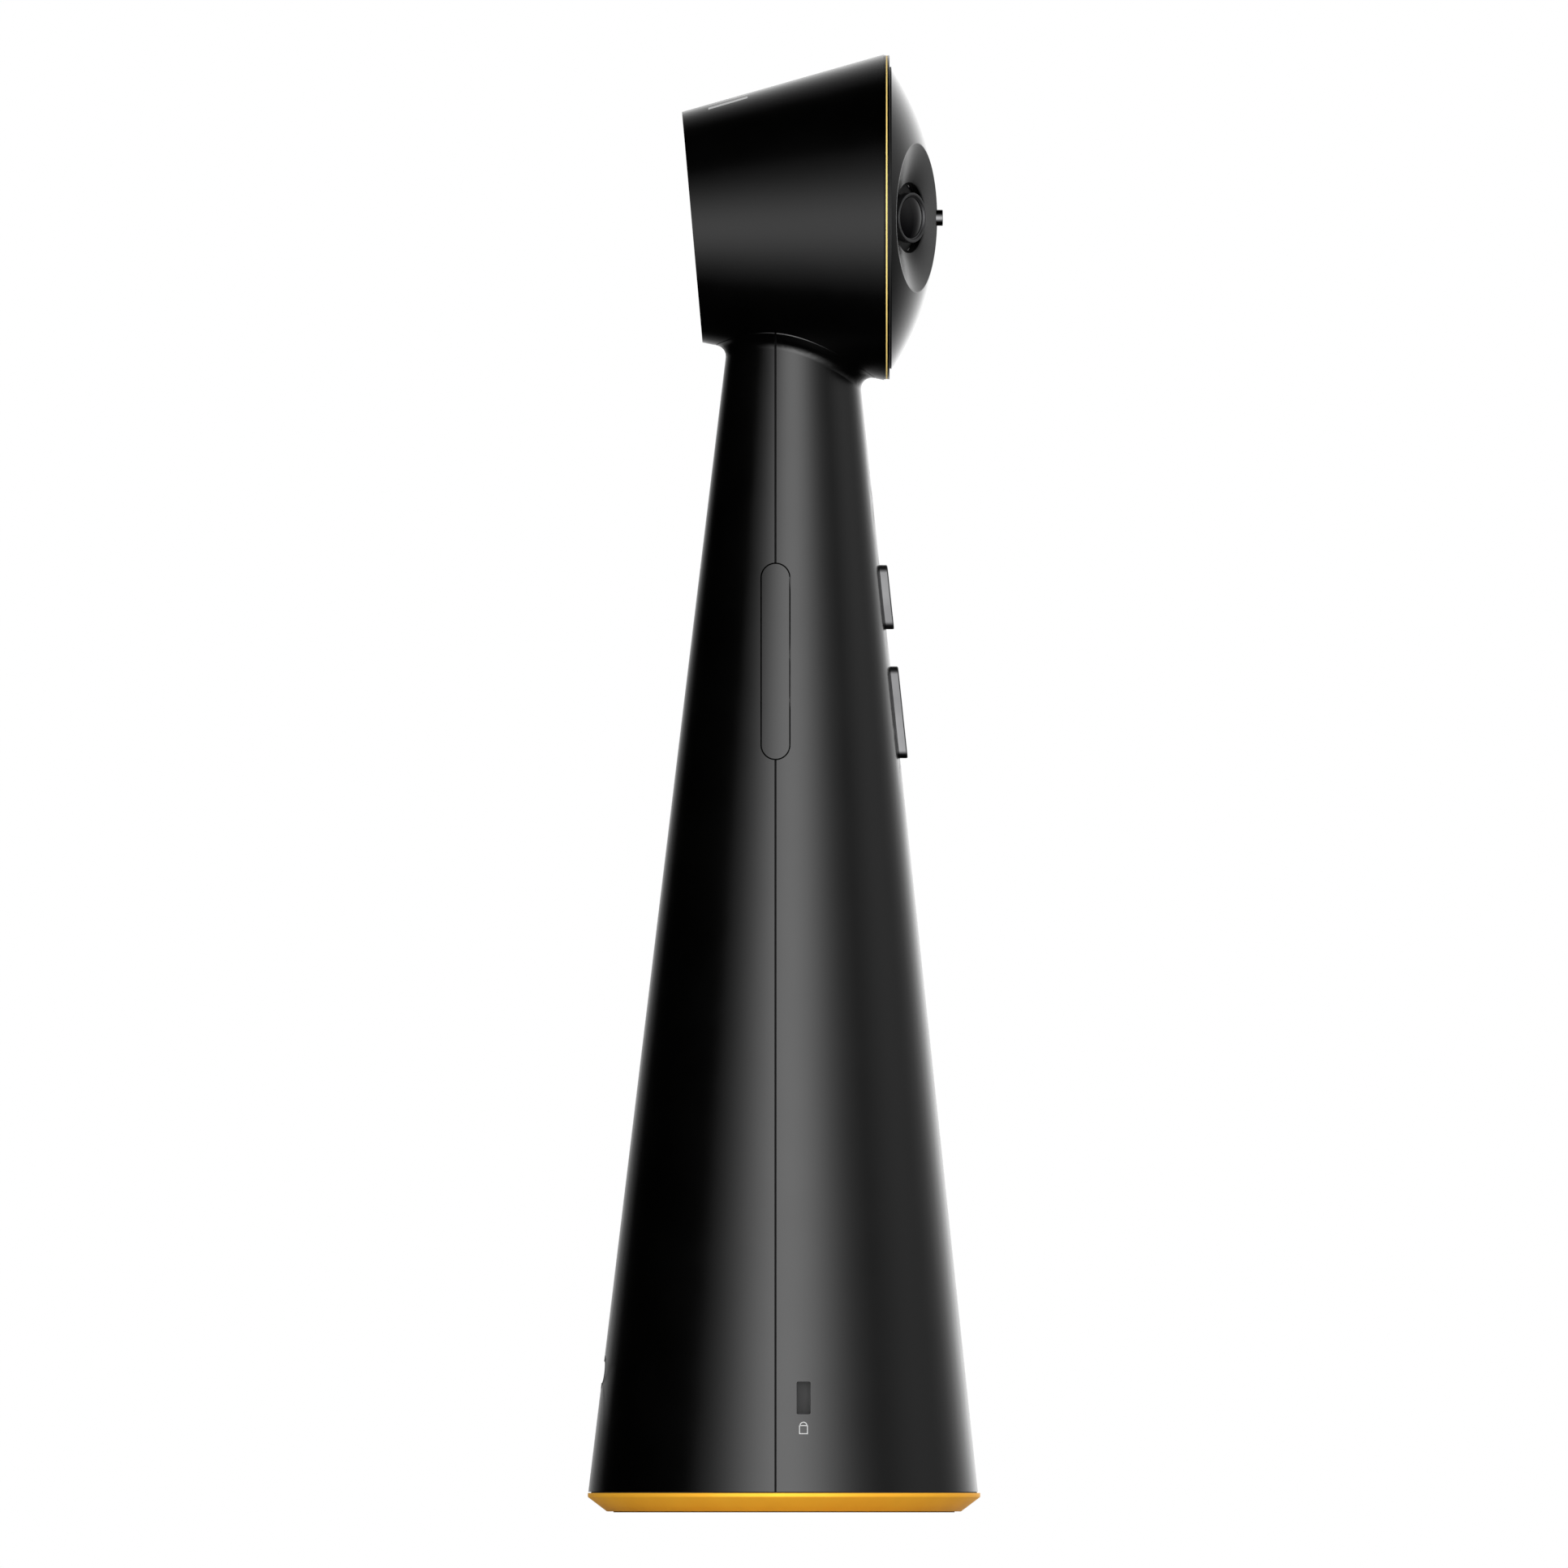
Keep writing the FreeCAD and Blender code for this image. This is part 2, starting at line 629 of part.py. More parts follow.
def stem_body(whole):
    """Both stem halves as one hollow shape, before the seam and the openings."""
    below = box((-FAR, FAR), (-FAR, FAR), (0, NECK_RING_Z))
    kept = joined([below, neck_cylinder(NECK_LAND_R)])
    body = whole.common(kept)
    body = body.cut(head_solid(HEAD_WALL))
    body = body.cut(stem_solid(STEM_WALL, STEM_BASE_Z - OVERCUT, NECK_RING_Z))
    return body.cut(neck_cylinder(NECK_BORE_R))


def window_aperture():
    low, high = WINDOW_Z
    gap = WINDOW_GAP
    return stadium_along_y(low - gap, high + gap, WINDOW_WIDTH + 2 * gap, (-WIDE, WIDE), SEAM_X)


def key_aperture(span, end_gap):
    """Opening for a key, wider than the key by KEY_GAP all round and by end_gap at its ends."""
    extra = end_gap - KEY_GAP
    width = KEY_WIDTH + 2 * KEY_GAP
    x = (stem_front(span[1]) - BRACKET_DEPTH, stem_front(span[0]) + KEY_REACH)
    low = stadium_along_x(span[0] - KEY_GAP - extra, span[1] + KEY_GAP, width, x)
    high = stadium_along_x(span[0] - KEY_GAP, span[1] + KEY_GAP + extra, width, x)
    return joined([low, high])


def slot_prism(y):
    """The security slot's outline, carried along Y."""
    prism = box(centred(SLOT_WIDTH, SLOT_X), y, centred(SLOT_HEIGHT, SLOT_Z))
    corners = [e for e in prism.Edges if abs(e.BoundBox.YLength - (y[1] - y[0])) < 1e-6]
    return prism.makeFillet(SLOT_CORNER_R, corners)


def lock_block():
    half_x = SLOT_WIDTH / 2 + LOCK_PLATE_MARGIN[0]
    half_z = SLOT_HEIGHT / 2 + LOCK_PLATE_MARGIN[1]
    return box(centred(2 * half_x, SLOT_X), (-WIDE, 0), centred(2 * half_z, SLOT_Z))


def mic_hole_points():
    return (MIC_Z[0] + MIC_HOLE_INSET, MIC_Z[1] - MIC_HOLE_INSET)


def mic_hole(r, z):
    """Sound hole from the skin through the board."""
    depth = MIC_BOARD_DEPTH + MIC_BOARD_THICKNESS
    return placed(rod(r, Vector(-depth, 0, 0), FORWARD, depth + OVERCUT), front_frame(z))


def seam_side(front):
    """Half space of one shell: it stops at the seam, and steps back there to leave the groove."""
    half = SEAM_GROOVE / 2
    if front:
        inner = box((SEAM_X, FAR), (-FAR, FAR), (0, FAR))
        outer = box((SEAM_X + half, FAR), (-FAR, FAR), (0, FAR))
    else:
        inner = box((-FAR, SEAM_X), (-FAR, FAR), (0, FAR))
        outer = box((-FAR, SEAM_X - half), (-FAR, FAR), (0, FAR))
    core = stem_solid(SEAM_GROOVE_DEPTH, 0, HEAD_AXIS_Z)
    return inner.common(core).fuse(outer)


def front_shell(body):
    shell = joined([body, shell_bosses(), bracket_bosses()])
    shell = shell.common(seam_side(True)).cut(window_aperture())
    shell = shell.cut(key_aperture(UPPER_KEY_Z, KEY_GAP))
    shell = shell.cut(key_aperture(LOWER_KEY_Z, ROCKER_END_GAP))
    shell = shell.cut(slot_prism((-WIDE, -SHELL_BOSS_RADIUS)))
    pocket = stem_solid(LOCK_SKIN, STEM_BASE_Z, LOCK_TOP_Z).common(lock_block())
    shell = shell.cut(pocket)
    for z in mic_hole_points():
        shell = shell.cut(mic_hole(MIC_HOLE_R, z))
    return shell.cut(joined(base_screws() + neck_screws() + button_bracket_screws()))


def rear_shell(body):
    shell = joined([body, shell_bosses()])
    shell = shell.common(seam_side(False)).cut(window_aperture())
    shell = shell.cut(port_outer(FIT))
    return shell.cut(joined(base_screws() + neck_screws()))


def lock_plate():
    """Curved steel plate moulded into the wall behind the slot, with a cup that closes it inside."""
    sheet = stem_solid(LOCK_SKIN, STEM_BASE_Z, LOCK_TOP_Z)
    sheet = sheet.cut(stem_solid(STEM_WALL, STEM_BASE_Z - OVERCUT, LOCK_TOP_Z + OVERCUT))
    width, depth, height = LOCK_CUP
    back_y = STEM_WALL + depth - stem_radius(SLOT_Z)
    room = box(centred(width, SLOT_X), (-WIDE, back_y), centred(height, SLOT_Z))
    around = 2 * LOCK_CUP_WALL
    cup = box(centred(width + around, SLOT_X), (-WIDE, back_y + LOCK_CUP_WALL),
              centred(height + around, SLOT_Z))
    cup = cup.common(stem_solid(STEM_WALL - FIT, STEM_BASE_Z, LOCK_TOP_Z))
    cup = cup.cut(room.common(stem_solid(STEM_WALL, STEM_BASE_Z, LOCK_TOP_Z)))
    plate = joined([sheet.common(lock_block()), cup])
    return plate.cut(slot_prism((-WIDE, back_y - LOCK_CUP_WALL)))


# Status windows

def window_wall(inset, spare=0.0):
    """The stem's cone around the windows, set in by a depth."""
    return stem_solid(inset, WINDOW_Z[0] - WINDOW_WIDTH - spare, WINDOW_Z[1] + WINDOW_WIDTH + spare)


def status_window():
    """Right hand window: a pill flush with the stem, a flange behind the wall and two posts."""
    low, high = WINDOW_Z
    inner_face = STEM_WALL + 2 * FIT
    side = (-WIDE, 0)
    pill = stadium_along_y(low, high, WINDOW_WIDTH, side, SEAM_X).common(window_wall(0))
    pill = pill.cut(window_wall(inner_face, OVERCUT))
    wide = WINDOW_WIDTH + 2 * WINDOW_FLANGE
    flange = stadium_along_y(low - WINDOW_FLANGE, high + WINDOW_FLANGE, wide, side, SEAM_X)
    flange = flange.common(window_wall(inner_face))
    back = inner_face + WINDOW_FLANGE_THICKNESS
    flange = flange.cut(window_wall(back, OVERCUT))
    posts = []
    for z in (low + WINDOW_POST_INSET, high - WINDOW_POST_INSET):
        post = rod(WINDOW_POST_R, Vector(SEAM_X, -WIDE, z), SIDEWAYS, WIDE)
        post = post.common(window_wall(back - FIT)).cut(side_slab(back + LIGHT_BOARD_GAP, WIDE))
        posts.append(post)
    return joined([pill, flange] + posts)


def side_slab(depth_near, depth_far):
    """Space between two planes parallel to the stem's right side line, depths measured inwards."""
    middle = (WINDOW_Z[0] + WINDOW_Z[1]) / 2
    slope = math.degrees(math.atan2(STEM_BASE_R - STEM_NECK_R, STEM_NECK_Z - STEM_BASE_Z))
    slab = box((-WIDE, WIDE), (depth_near, depth_far), (-WIDE, WIDE))
    frame = Placement(Vector(0, -stem_radius(middle), middle), Rotation(FORWARD, -slope))
    return placed(slab, frame)


def light_board():
    """Right hand strip of lamps behind the window, on the window's posts."""
    thickness, width, length = LIGHT_BOARD
    middle = (WINDOW_Z[0] + WINDOW_Z[1]) / 2
    depth = STEM_WALL + 2 * FIT + WINDOW_FLANGE_THICKNESS + LIGHT_BOARD_GAP
    strip = box(centred(width, SEAM_X), (-WIDE, 0), centred(length, middle))
    board = strip.common(side_slab(depth, depth + thickness))
    lamps = []
    for index in range(LAMP_COUNT):
        z = middle + (index - (LAMP_COUNT - 1) / 2) * LAMP_PITCH
        lamp = box(centred(LAMP[1], SEAM_X), (-WIDE, 0), centred(LAMP[1], z))
        lamps.append(lamp.common(side_slab(depth - LAMP[0], depth)))
    return joined([board] + lamps)


# Keys and the parts behind them

def key_body(span, depth):
    x = (0, stem_front(span[0]) + KEY_REACH)
    return stadium_along_x(span[0], span[1], KEY_WIDTH, x).common(front_slab(-KEY_PROUD, depth))


def upper_button():
    """Push key with a flange behind the wall and a plunger for its switch."""
    low, high = UPPER_KEY_Z
    flange_depth = STEM_WALL + KEY_FLANGE_GAP
    back = flange_depth + KEY_FLANGE_THICKNESS
    key = key_body(UPPER_KEY_Z, back)
    wide = KEY_WIDTH + 2 * KEY_FLANGE
    x = (0, stem_front(low) + KEY_REACH)
    flange = stadium_along_x(low - KEY_FLANGE, high + KEY_FLANGE, wide, x)
    flange = flange.common(front_slab(flange_depth, back))
    return joined([key, flange, key_plunger((low + high) / 2, back)])


def key_plunger(z, start_depth):
    end_depth = switch_face_depth() - SWITCH_GAP
    stub = rod(KEY_PLUNGER_R, Vector(0, 0, z), FORWARD, WIDE)
    return stub.common(front_slab(start_depth - FIT, end_depth))


def switch_face_depth():
    return BRACKET_DEPTH - BUTTON_BOARD_THICKNESS - SWITCH_SIZE[0]


def rocker_middle():
    return (LOWER_KEY_Z[0] + LOWER_KEY_Z[1]) / 2


def rocker_pin_axis():
    """Point on the rocker's pin in the middle plane."""
    z = rocker_middle()
    return Vector(stem_front(z) - ROCKER_PIN_DEPTH, 0, z)


def rocker_switch_heights():
    return [rocker_middle() + side * ROCKER_SWITCH_SPACING / 2 for side in (-1, 1)]


def lower_button():
    """Rocker key on a cross pin, with a plunger under each half."""
    key = key_body(LOWER_KEY_Z, ROCKER_BODY_DEPTH)
    plungers = [key_plunger(z, ROCKER_BODY_DEPTH) for z in rocker_switch_heights()]
    key = joined([key] + plungers)
    start = rocker_pin_axis().sub(Vector(0, KEY_WIDTH, 0))
    return key.cut(rod(ROCKER_PIN_R + ROCKER_PIN_CLEARANCE, start, SIDEWAYS, 2 * KEY_WIDTH))


def cheek_pairs():
    """The (low, high) pairs along Y of the two cheeks beside the rocker."""
    near = KEY_WIDTH / 2 + CHEEK_GAP
    far = near + CHEEK_THICKNESS
    return ((-far, -near), (near, far))


def rocker_pin():
    reach = cheek_pairs()[1][1]
    return rod(ROCKER_PIN_R, rocker_pin_axis().sub(Vector(0, reach, 0)), SIDEWAYS, 2 * reach)


def button_bracket():
    """Sloping plate on the front shell's posts, with two cheeks that hold the rocker's pin."""
    prism = box((0, WIDE), centred(BRACKET_WIDTH), BRACKET_Z)
    plate = prism.common(front_slab(BRACKET_DEPTH, BRACKET_DEPTH + BRACKET_THICKNESS))
    outer_depth = ROCKER_PIN_DEPTH - 2 * ROCKER_PIN_R
    cheeks = []
    for pair in cheek_pairs():
        cheek = box((0, WIDE), pair, centred(CHEEK_HEIGHT, rocker_middle()))
        cheek = cheek.common(front_slab(outer_depth, BRACKET_DEPTH + FIT))
        cheeks.append(cheek.common(stem_solid(STEM_WALL + 2 * FIT)))
    bracket = joined([plate] + cheeks)
    for part in [rocker_pin()] + button_bracket_screws():
        bracket = bracket.cut(part)
    return bracket


def button_bracket_screws():
    screws = []
    for z in bracket_boss_points():
        seat = Vector(-BRACKET_DEPTH - BRACKET_THICKNESS, 0, 0)
        screws.append(placed(screw(M2_5, seat, FORWARD, M2_5_LENGTH), front_frame(z)))
    return screws


def button_board_z():
    return (BRACKET_Z[0] + BUTTON_BOARD_INSET, BRACKET_Z[1] - BUTTON_BOARD_INSET)


def button_board():
    """Switch board on the bracket's outer face, slotted for the cheeks."""
    prism = box((0, WIDE), centred(BRACKET_WIDTH), button_board_z())
    board = prism.common(front_slab(BRACKET_DEPTH - BUTTON_BOARD_THICKNESS, BRACKET_DEPTH))
    for low, high in cheek_pairs():
        slot = (low - CHEEK_GAP / 2, high + CHEEK_GAP / 2)
        board = board.cut(box((0, WIDE), slot, centred(CHEEK_HEIGHT + CHEEK_GAP, rocker_middle())))
    return board


def button_switches():
    depth = BRACKET_DEPTH - BUTTON_BOARD_THICKNESS
    heights = rocker_switch_heights() + [sum(UPPER_KEY_Z) / 2]
    switches = []
    for z in heights:
        body = box((0, WIDE), centred(SWITCH_SIZE[1]), centred(SWITCH_SIZE[2], z))
        switches.append(body.common(front_slab(depth - SWITCH_SIZE[0], depth)))
    return switches


def button_flex(board_front_x):
    """Flex from the switch board's foot down to the main board."""
    depth = BRACKET_DEPTH - BUTTON_BOARD_THICKNESS / 2
    board_end = button_board_z()[0] + depth * math.sin(math.radians(FRONT_LEAN)) - FIT
    heights = (board_end, BRACKET_Z[0] - RIBBON_TUCK)
    along = [front_frame(z).multVec(Vector(-depth, 0, 0)) for z in heights]
    end_x = board_front_x + CONNECTOR[0] / 2
    points = [(point.x, point.z) for point in along]
    points += [(end_x, connector_top() + RIBBON_BEND), (end_x, connector_top())]
    width = BUTTON_FLEX_Y[1] - BUTTON_FLEX_Y[0]
    return ribbon(points, width, sum(BUTTON_FLEX_Y) / 2)


# Microphones

def mic_gasket():
    prism = box((0, WIDE), centred(MIC_BOARD_WIDTH), MIC_Z)
    pad = prism.common(stem_solid(STEM_WALL + 2 * FIT)).common(front_slab(0, MIC_BOARD_DEPTH))
    for z in mic_hole_points():
        pad = pad.cut(mic_hole(MIC_HOLE_R, z))
    return pad


def mic_board():
    """Board on the gasket with a microphone behind each sound hole."""
    prism = box((0, WIDE), centred(MIC_BOARD_WIDTH), MIC_Z)
    back = MIC_BOARD_DEPTH + MIC_BOARD_THICKNESS
    board = prism.common(front_slab(MIC_BOARD_DEPTH, back))
    cans = []
    for z in mic_hole_points():
        can = box((0, WIDE), centred(MIC_CAN[1]), centred(MIC_CAN[2], z))
        cans.append(can.common(front_slab(back, back + MIC_CAN[0])))
    board = joined([board] + cans)
    for z in mic_hole_points():
        board = board.cut(mic_hole(MIC_HOLE_R / 2, z))
    return board


# Port

def port_outer(margin):
    """Outer block of the port's moulding, from the stem's skin to the back of its rear wall."""
    width, height = PORT_POCKET[1:]
    wall = PORT_WALL + margin
    x = (stem_rear(PORT_Z) - PORT_WALL, port_back_x() + PORT_BACK)
    return stadium_across(width + 2 * wall, height + 2 * wall, x, PORT_Z)


def port_back_x():
    return stem_rear(PORT_Z) + PORT_POCKET[0]


def port_bezel():
    """Moulded mouth of the port, let in a little below the skin, with a shelf for the board."""
    depth, width, height = PORT_POCKET
    shelf_z = PORT_Z - USB_SIZE[2] / 2 - PORT_BOARD[2]
    shelf_x = (port_back_x() + PORT_BACK, port_back_x() + PORT_BACK + PORT_BOARD[0])
    shelf = box(shelf_x, centred(width), (shelf_z - PORT_WALL, shelf_z))
    cup = port_outer(0).common(stem_solid())
    pocket_x = (stem_rear(PORT_Z) - depth, port_back_x())
    cup = cup.cut(stadium_across(width, height, pocket_x, PORT_Z))
    mouth_x = (pocket_x[0], shelf_x[0] + OVERCUT)
    cup = cup.cut(stadium_across(USB_SIZE[1] + 2 * FIT, USB_SIZE[2] + 2 * FIT, mouth_x, PORT_Z))
    return joined([cup, shelf])


def usb_socket():
    """Steel mouth with a tongue, standing in the pocket's rear wall on the board."""
    length, width, height = USB_SIZE
    start = port_back_x()
    body = stadium_across(width, height, (start, start + length), PORT_Z)
    inside_x = (start - OVERCUT, start + length - USB_SHELL)
    inside = stadium_across(width - 2 * USB_SHELL, height - 2 * USB_SHELL, inside_x, PORT_Z)
    tongue_x = (start + USB_TONGUE[0], start + length)
    tongue = box(tongue_x, centred(USB_TONGUE[1]), centred(USB_TONGUE[2], PORT_Z))
    return joined([body.cut(inside), tongue])


def port_board():
    length, width, thickness = PORT_BOARD
    top = PORT_Z - USB_SIZE[2] / 2
    start = port_back_x() + PORT_BACK
    board = box((start, start + length), centred(width), (top - thickness, top))
    connector_x = (start + length - CONNECTOR[1], start + length)
    connector = box(connector_x, centred(RIBBON_WIDTH + CONNECTOR_MARGIN), (top, top + CONNECTOR[0]))
    return joined([board, connector])


def port_flex(board_front_x):
    """Flex from the port board through the spine's window up to the main board."""
    start_x = port_back_x() + PORT_BACK + PORT_BOARD[0]
    start_z = PORT_Z - USB_SIZE[2] / 2 + CONNECTOR[0] / 2
    end_x = board_front_x + CONNECTOR[0] / 2
    points = [(start_x, start_z)] + list(PORT_FLEX_MIDDLE)
    points += [(end_x, MAIN_BOARD_Z - PORT_FLEX_BEND), (end_x, MAIN_BOARD_Z + RIBBON_TUCK)]
    return ribbon(points, RIBBON_WIDTH)


# Spine and electronics in the stem

def spine_foot_z():
    return PLATE_TOP_Z + BALLAST_THICKNESS


def spine_front_x():
    return SPINE_X + SPINE_THICKNESS


def standoff_points():
    """The four places where the main board is screwed to the spine, as (y, z)."""
    half_y = MAIN_BOARD[1] / 2 - MAIN_BOARD_SCREW_INSET
    low = MAIN_BOARD_Z + MAIN_BOARD_SCREW_INSET
    high = MAIN_BOARD_Z + MAIN_BOARD[2] - MAIN_BOARD_SCREW_INSET
    return [(y, z) for y in (-half_y, half_y) for z in (low, high)]


def spine():
    """Upright plate on the ballast: it narrows upwards and ends under the neck ring."""
    foot_z = spine_foot_z()
    top_z = NECK_RING_Z - SPINE_TOP_GAP
    outline = [
        Vector(SPINE_X, -SPINE_BASE_HALF, foot_z),
        Vector(SPINE_X, SPINE_BASE_HALF, foot_z),
        Vector(SPINE_X, SPINE_TOP_HALF, top_z),
        Vector(SPINE_X, -SPINE_TOP_HALF, top_z),
    ]
    plate = Part.Face(Part.makePolygon(outline + outline[:1])).extrude(Vector(SPINE_THICKNESS, 0, 0))
    length, width, height = SPINE_FOOT
    foot = box((SPINE_X, SPINE_X + length), centred(width), (foot_z, foot_z + height))
    posts = []
    for y, z in standoff_points():
        posts.append(rod(STANDOFF_R, Vector(SPINE_X, y, z), FORWARD, SPINE_THICKNESS + STANDOFF_LENGTH))
    body = joined([plate, foot] + posts)
    body = body.cut(box((0, spine_front_x() + OVERCUT), centred(2 * RIBBON_WIDTH), SPINE_WINDOW_Z))
    for y, z in standoff_points():
        body = body.cut(rod(M2_5[0], Vector(SPINE_X - OVERCUT, y, z), FORWARD, 2 * M2_5_LENGTH))
    return body.cut(joined(spine_screws()))


def spine_screws():
    """Two long screws through the spine's foot and the ballast into the base plate."""
    seat_z = spine_foot_z() + SPINE_FOOT[2]
    screws = []
    for y in (-SPINE_SCREW_Y, SPINE_SCREW_Y):
        seat = Vector(SPINE_X + SPINE_SCREW_X, y, seat_z)
        screws.append(screw(M3, seat, Vector(0, 0, -1), seat_z - BASE_TOP_Z))
    return screws


def main_board_x():
    back = spine_front_x() + STANDOFF_LENGTH
    return (back, back + MAIN_BOARD[0])


def connector_top():
    return MAIN_BOARD_Z + MAIN_BOARD[2] - CONNECTOR_MARGIN


def main_board():
    """Main board with its three soldered connectors."""
    x = main_board_x()
    z_top = MAIN_BOARD_Z + MAIN_BOARD[2]
    board = box(x, centred(MAIN_BOARD[1]), (MAIN_BOARD_Z, z_top))
    front = (x[1], x[1] + CONNECTOR[0])
    top_z = (connector_top() - CONNECTOR[1], connector_top())
    head = box(front, centred(RIBBON_WIDTH + 2 * SCREW_HEAD_GAP), top_z)
    button = box(front, (BUTTON_FLEX_Y[0] - SCREW_HEAD_GAP, BUTTON_FLEX_Y[1] + SCREW_HEAD_GAP), top_z)
    port_z = MAIN_BOARD_Z + RIBBON_TUCK
    port = box(front, centred(RIBBON_WIDTH + CONNECTOR_MARGIN), (port_z, port_z + CONNECTOR[1]))
    board = joined([board, head, button, port])
    for y, z in standoff_points():
        board = board.cut(rod(M2_5[0] + SCREW_HOLE_GAP, Vector(0, y, z), FORWARD, WIDE))
    return board


def board_screws():
    x = main_board_x()[1]
    return [screw(M2_5, Vector(x, y, z), Vector(-1, 0, 0), M2_5_LENGTH) for y, z in standoff_points()]


def on_board(size, z_middle, y_middle=0.0, lift=0.0):
    """Block of size (height off the board, width, length) on the main board's front."""
    x = main_board_x()[1] + lift
    return box((x, x + size[0]), centred(size[1], y_middle), centred(size[2], z_middle))


def memory_chips():
    return [on_board(MEMORY, MEMORY_Z, side * MEMORY_Y) for side in (-1, 1)]


def thermal_pad():
    return on_board((THERMAL_PAD_THICKNESS,) + PROCESSOR[1:], PROCESSOR_Z, 0.0, PROCESSOR[0])


def heat_sink():
    lift = PROCESSOR[0] + THERMAL_PAD_THICKNESS
    thickness, width, length = HEAT_SINK_BASE
    base = on_board(HEAT_SINK_BASE, PROCESSOR_Z, 0.0, lift)
    span = width - HEAT_SINK_FIN_THICKNESS
    pitch = span / (HEAT_SINK_FINS - 1)
    fins = []
    for index in range(HEAT_SINK_FINS):
        fin = (HEAT_SINK_FIN_LENGTH, HEAT_SINK_FIN_THICKNESS, length)
        fins.append(on_board(fin, PROCESSOR_Z, index * pitch - span / 2, lift + thickness))
    foot_side, foot_y, foot_z = HEAT_SINK_FOOT
    feet = [on_board((lift, foot_side, foot_side), PROCESSOR_Z + side * foot_z, side * foot_y)
            for side in (-1, 1)]
    return joined([base] + fins + feet)


# Neck

def neck_bracket():
    """Saddle inside the head's underside, clamped to the stem, with an upright for the carrier."""
    low, high = NECK_RING_Z, SADDLE_TOP_Z
    saddle = head_solid(HEAD_WALL + FIT, SADDLE_REAR_GAP).cut(head_solid(2 * HEAD_WALL, 0, WIDE))
    saddle = saddle.common(neck_cylinder(SADDLE_R, low, high))
    saddle = saddle.common(box((-FAR, CARRIER_X), (-FAR, FAR), (low, high)))
    saddle = saddle.cut(rod(SADDLE_HOLE_R, Vector(0, 0, low), UP, high - low))
    x = (CARRIER_X - UPRIGHT[0], CARRIER_X)
    upright = box(x, centred(UPRIGHT[1]), (low, UPRIGHT_TOP_Z)).common(head_solid(HEAD_WALL + FIT))
    bracket = joined([saddle, upright])
    return bracket.cut(joined(neck_screws() + bracket_screws()))


def neck_screw_points():
    """Screw seats on the saddle's top, over the thick ring of the stem."""
    points = []
    inner = head_solid(2 * HEAD_WALL)
    for angle in NECK_SCREW_ANGLES:
        a = math.radians(angle)
        x = NECK_LAND_X + NECK_SCREW_RADIUS * math.cos(a)
        y = NECK_SCREW_RADIUS * math.sin(a)
        head = rod(M2[1], Vector(x, y, NECK_RING_Z), UP, HEAD_AXIS_Z - NECK_RING_Z).common(inner)
        points.append(Vector(x, y, head.BoundBox.ZMin))
    return points


def neck_screws():
    screws = []
    for point in neck_screw_points():
        seat = point.add(Vector(0, 0, NECK_SEAT_LIFT))
        screws.append(screw(M2, seat, Vector(0, 0, -1), NECK_SCREW_LENGTH))
    return screws


def bracket_screws():
    x = CARRIER_X + CARRIER_THICKNESS
    length = CARRIER_THICKNESS + UPRIGHT[0]
    return [screw(M2_5, Vector(x, side * BRACKET_SCREW_Y, BRACKET_SCREW_Z), Vector(-1, 0, 0), length)
            for side in (-1, 1)]


def head_ribbon(board_front_x):
    """Flex from the main board up through the neck to the head board."""
    start_x = board_front_x + CONNECTOR[0] / 2
    end_x = CARRIER_X - HEAD_BOARD[0] - CONNECTOR[0] / 2
    bore_x = spine_front_x() + RIBBON_SPINE_GAP
    points = [
        (start_x, connector_top()),
        (start_x, connector_top() + RIBBON_BEND),
        (bore_x, RIBBON_NECK_Z[0]),
        (bore_x, RIBBON_NECK_Z[1]),
        (end_x, head_board_z()[0] - RIBBON_TUCK),
        (end_x, head_board_z()[0] + RIBBON_TUCK),
    ]
    return ribbon(points, RIBBON_WIDTH)


# Head housing

def carrier_boss_points(x):
    points = []
    for angle in CARRIER_BOSS_ANGLES:
        a = math.radians(angle)
        z = HEAD_AXIS_Z + CARRIER_BOSS_RADIUS * math.sin(a)
        points.append(Vector(x, CARRIER_BOSS_RADIUS * math.cos(a), z))
    return points


def carrier_bosses():
    bosses = []
    start = CARRIER_X - CARRIER_BOSS_LENGTH
    for angle in CARRIER_BOSS_ANGLES:
        centre = Vector(start, CARRIER_BOSS_RADIUS, HEAD_AXIS_Z)
        post = rod(CARRIER_BOSS_R, centre, FORWARD, CARRIER_BOSS_LENGTH)
        web = box((start, CARRIER_X), (CARRIER_BOSS_RADIUS, WIDE), centred(CARRIER_BOSS_WEB, HEAD_AXIS_Z))
        boss = joined([post, web])
        boss.rotate(Vector(0, 0, HEAD_AXIS_Z), FORWARD, angle)
        bosses.append(boss)
    return joined(bosses).common(head_solid(HEAD_WALL / 2))


def head_shell(whole):
    """Conical housing with the neck opening, the cap's ledge and the carrier's bosses."""
    above = box((-FAR, FAR), (-FAR, FAR), (NECK_RING_Z, FAR))
    shell = whole.common(above)
    shell = shell.cut(neck_cylinder(NECK_LAND_R + NECK_GAP))
    shell = shell.cut(head_solid(HEAD_WALL, CAP_THICKNESS + CAP_SPIGOT, HEAD_FRONT_X + OVERCUT))
    shell = shell.cut(head_solid(CAP_LEDGE, -OVERCUT, 0))
    seat = head_solid(CAP_INSET, -OVERCUT, 0).cut(rear_block(CAP_THICKNESS))
    shell = shell.cut(seat)
    shell = joined([shell, carrier_bosses()])
    shell = shell.cut(bar_grooves())
    return shell.cut(joined(carrier_screws()))


def rear_cap():
    """Disc let into the head's rear rim, with a spigot inside the ledge."""
    disc = head_solid(CAP_INSET + CAP_GAP, 0, 0).cut(rear_block(CAP_THICKNESS))
    spigot = head_solid(CAP_LEDGE + CAP_GAP, 0, 0).cut(rear_block(CAP_THICKNESS + CAP_SPIGOT))
    return joined([disc, spigot])


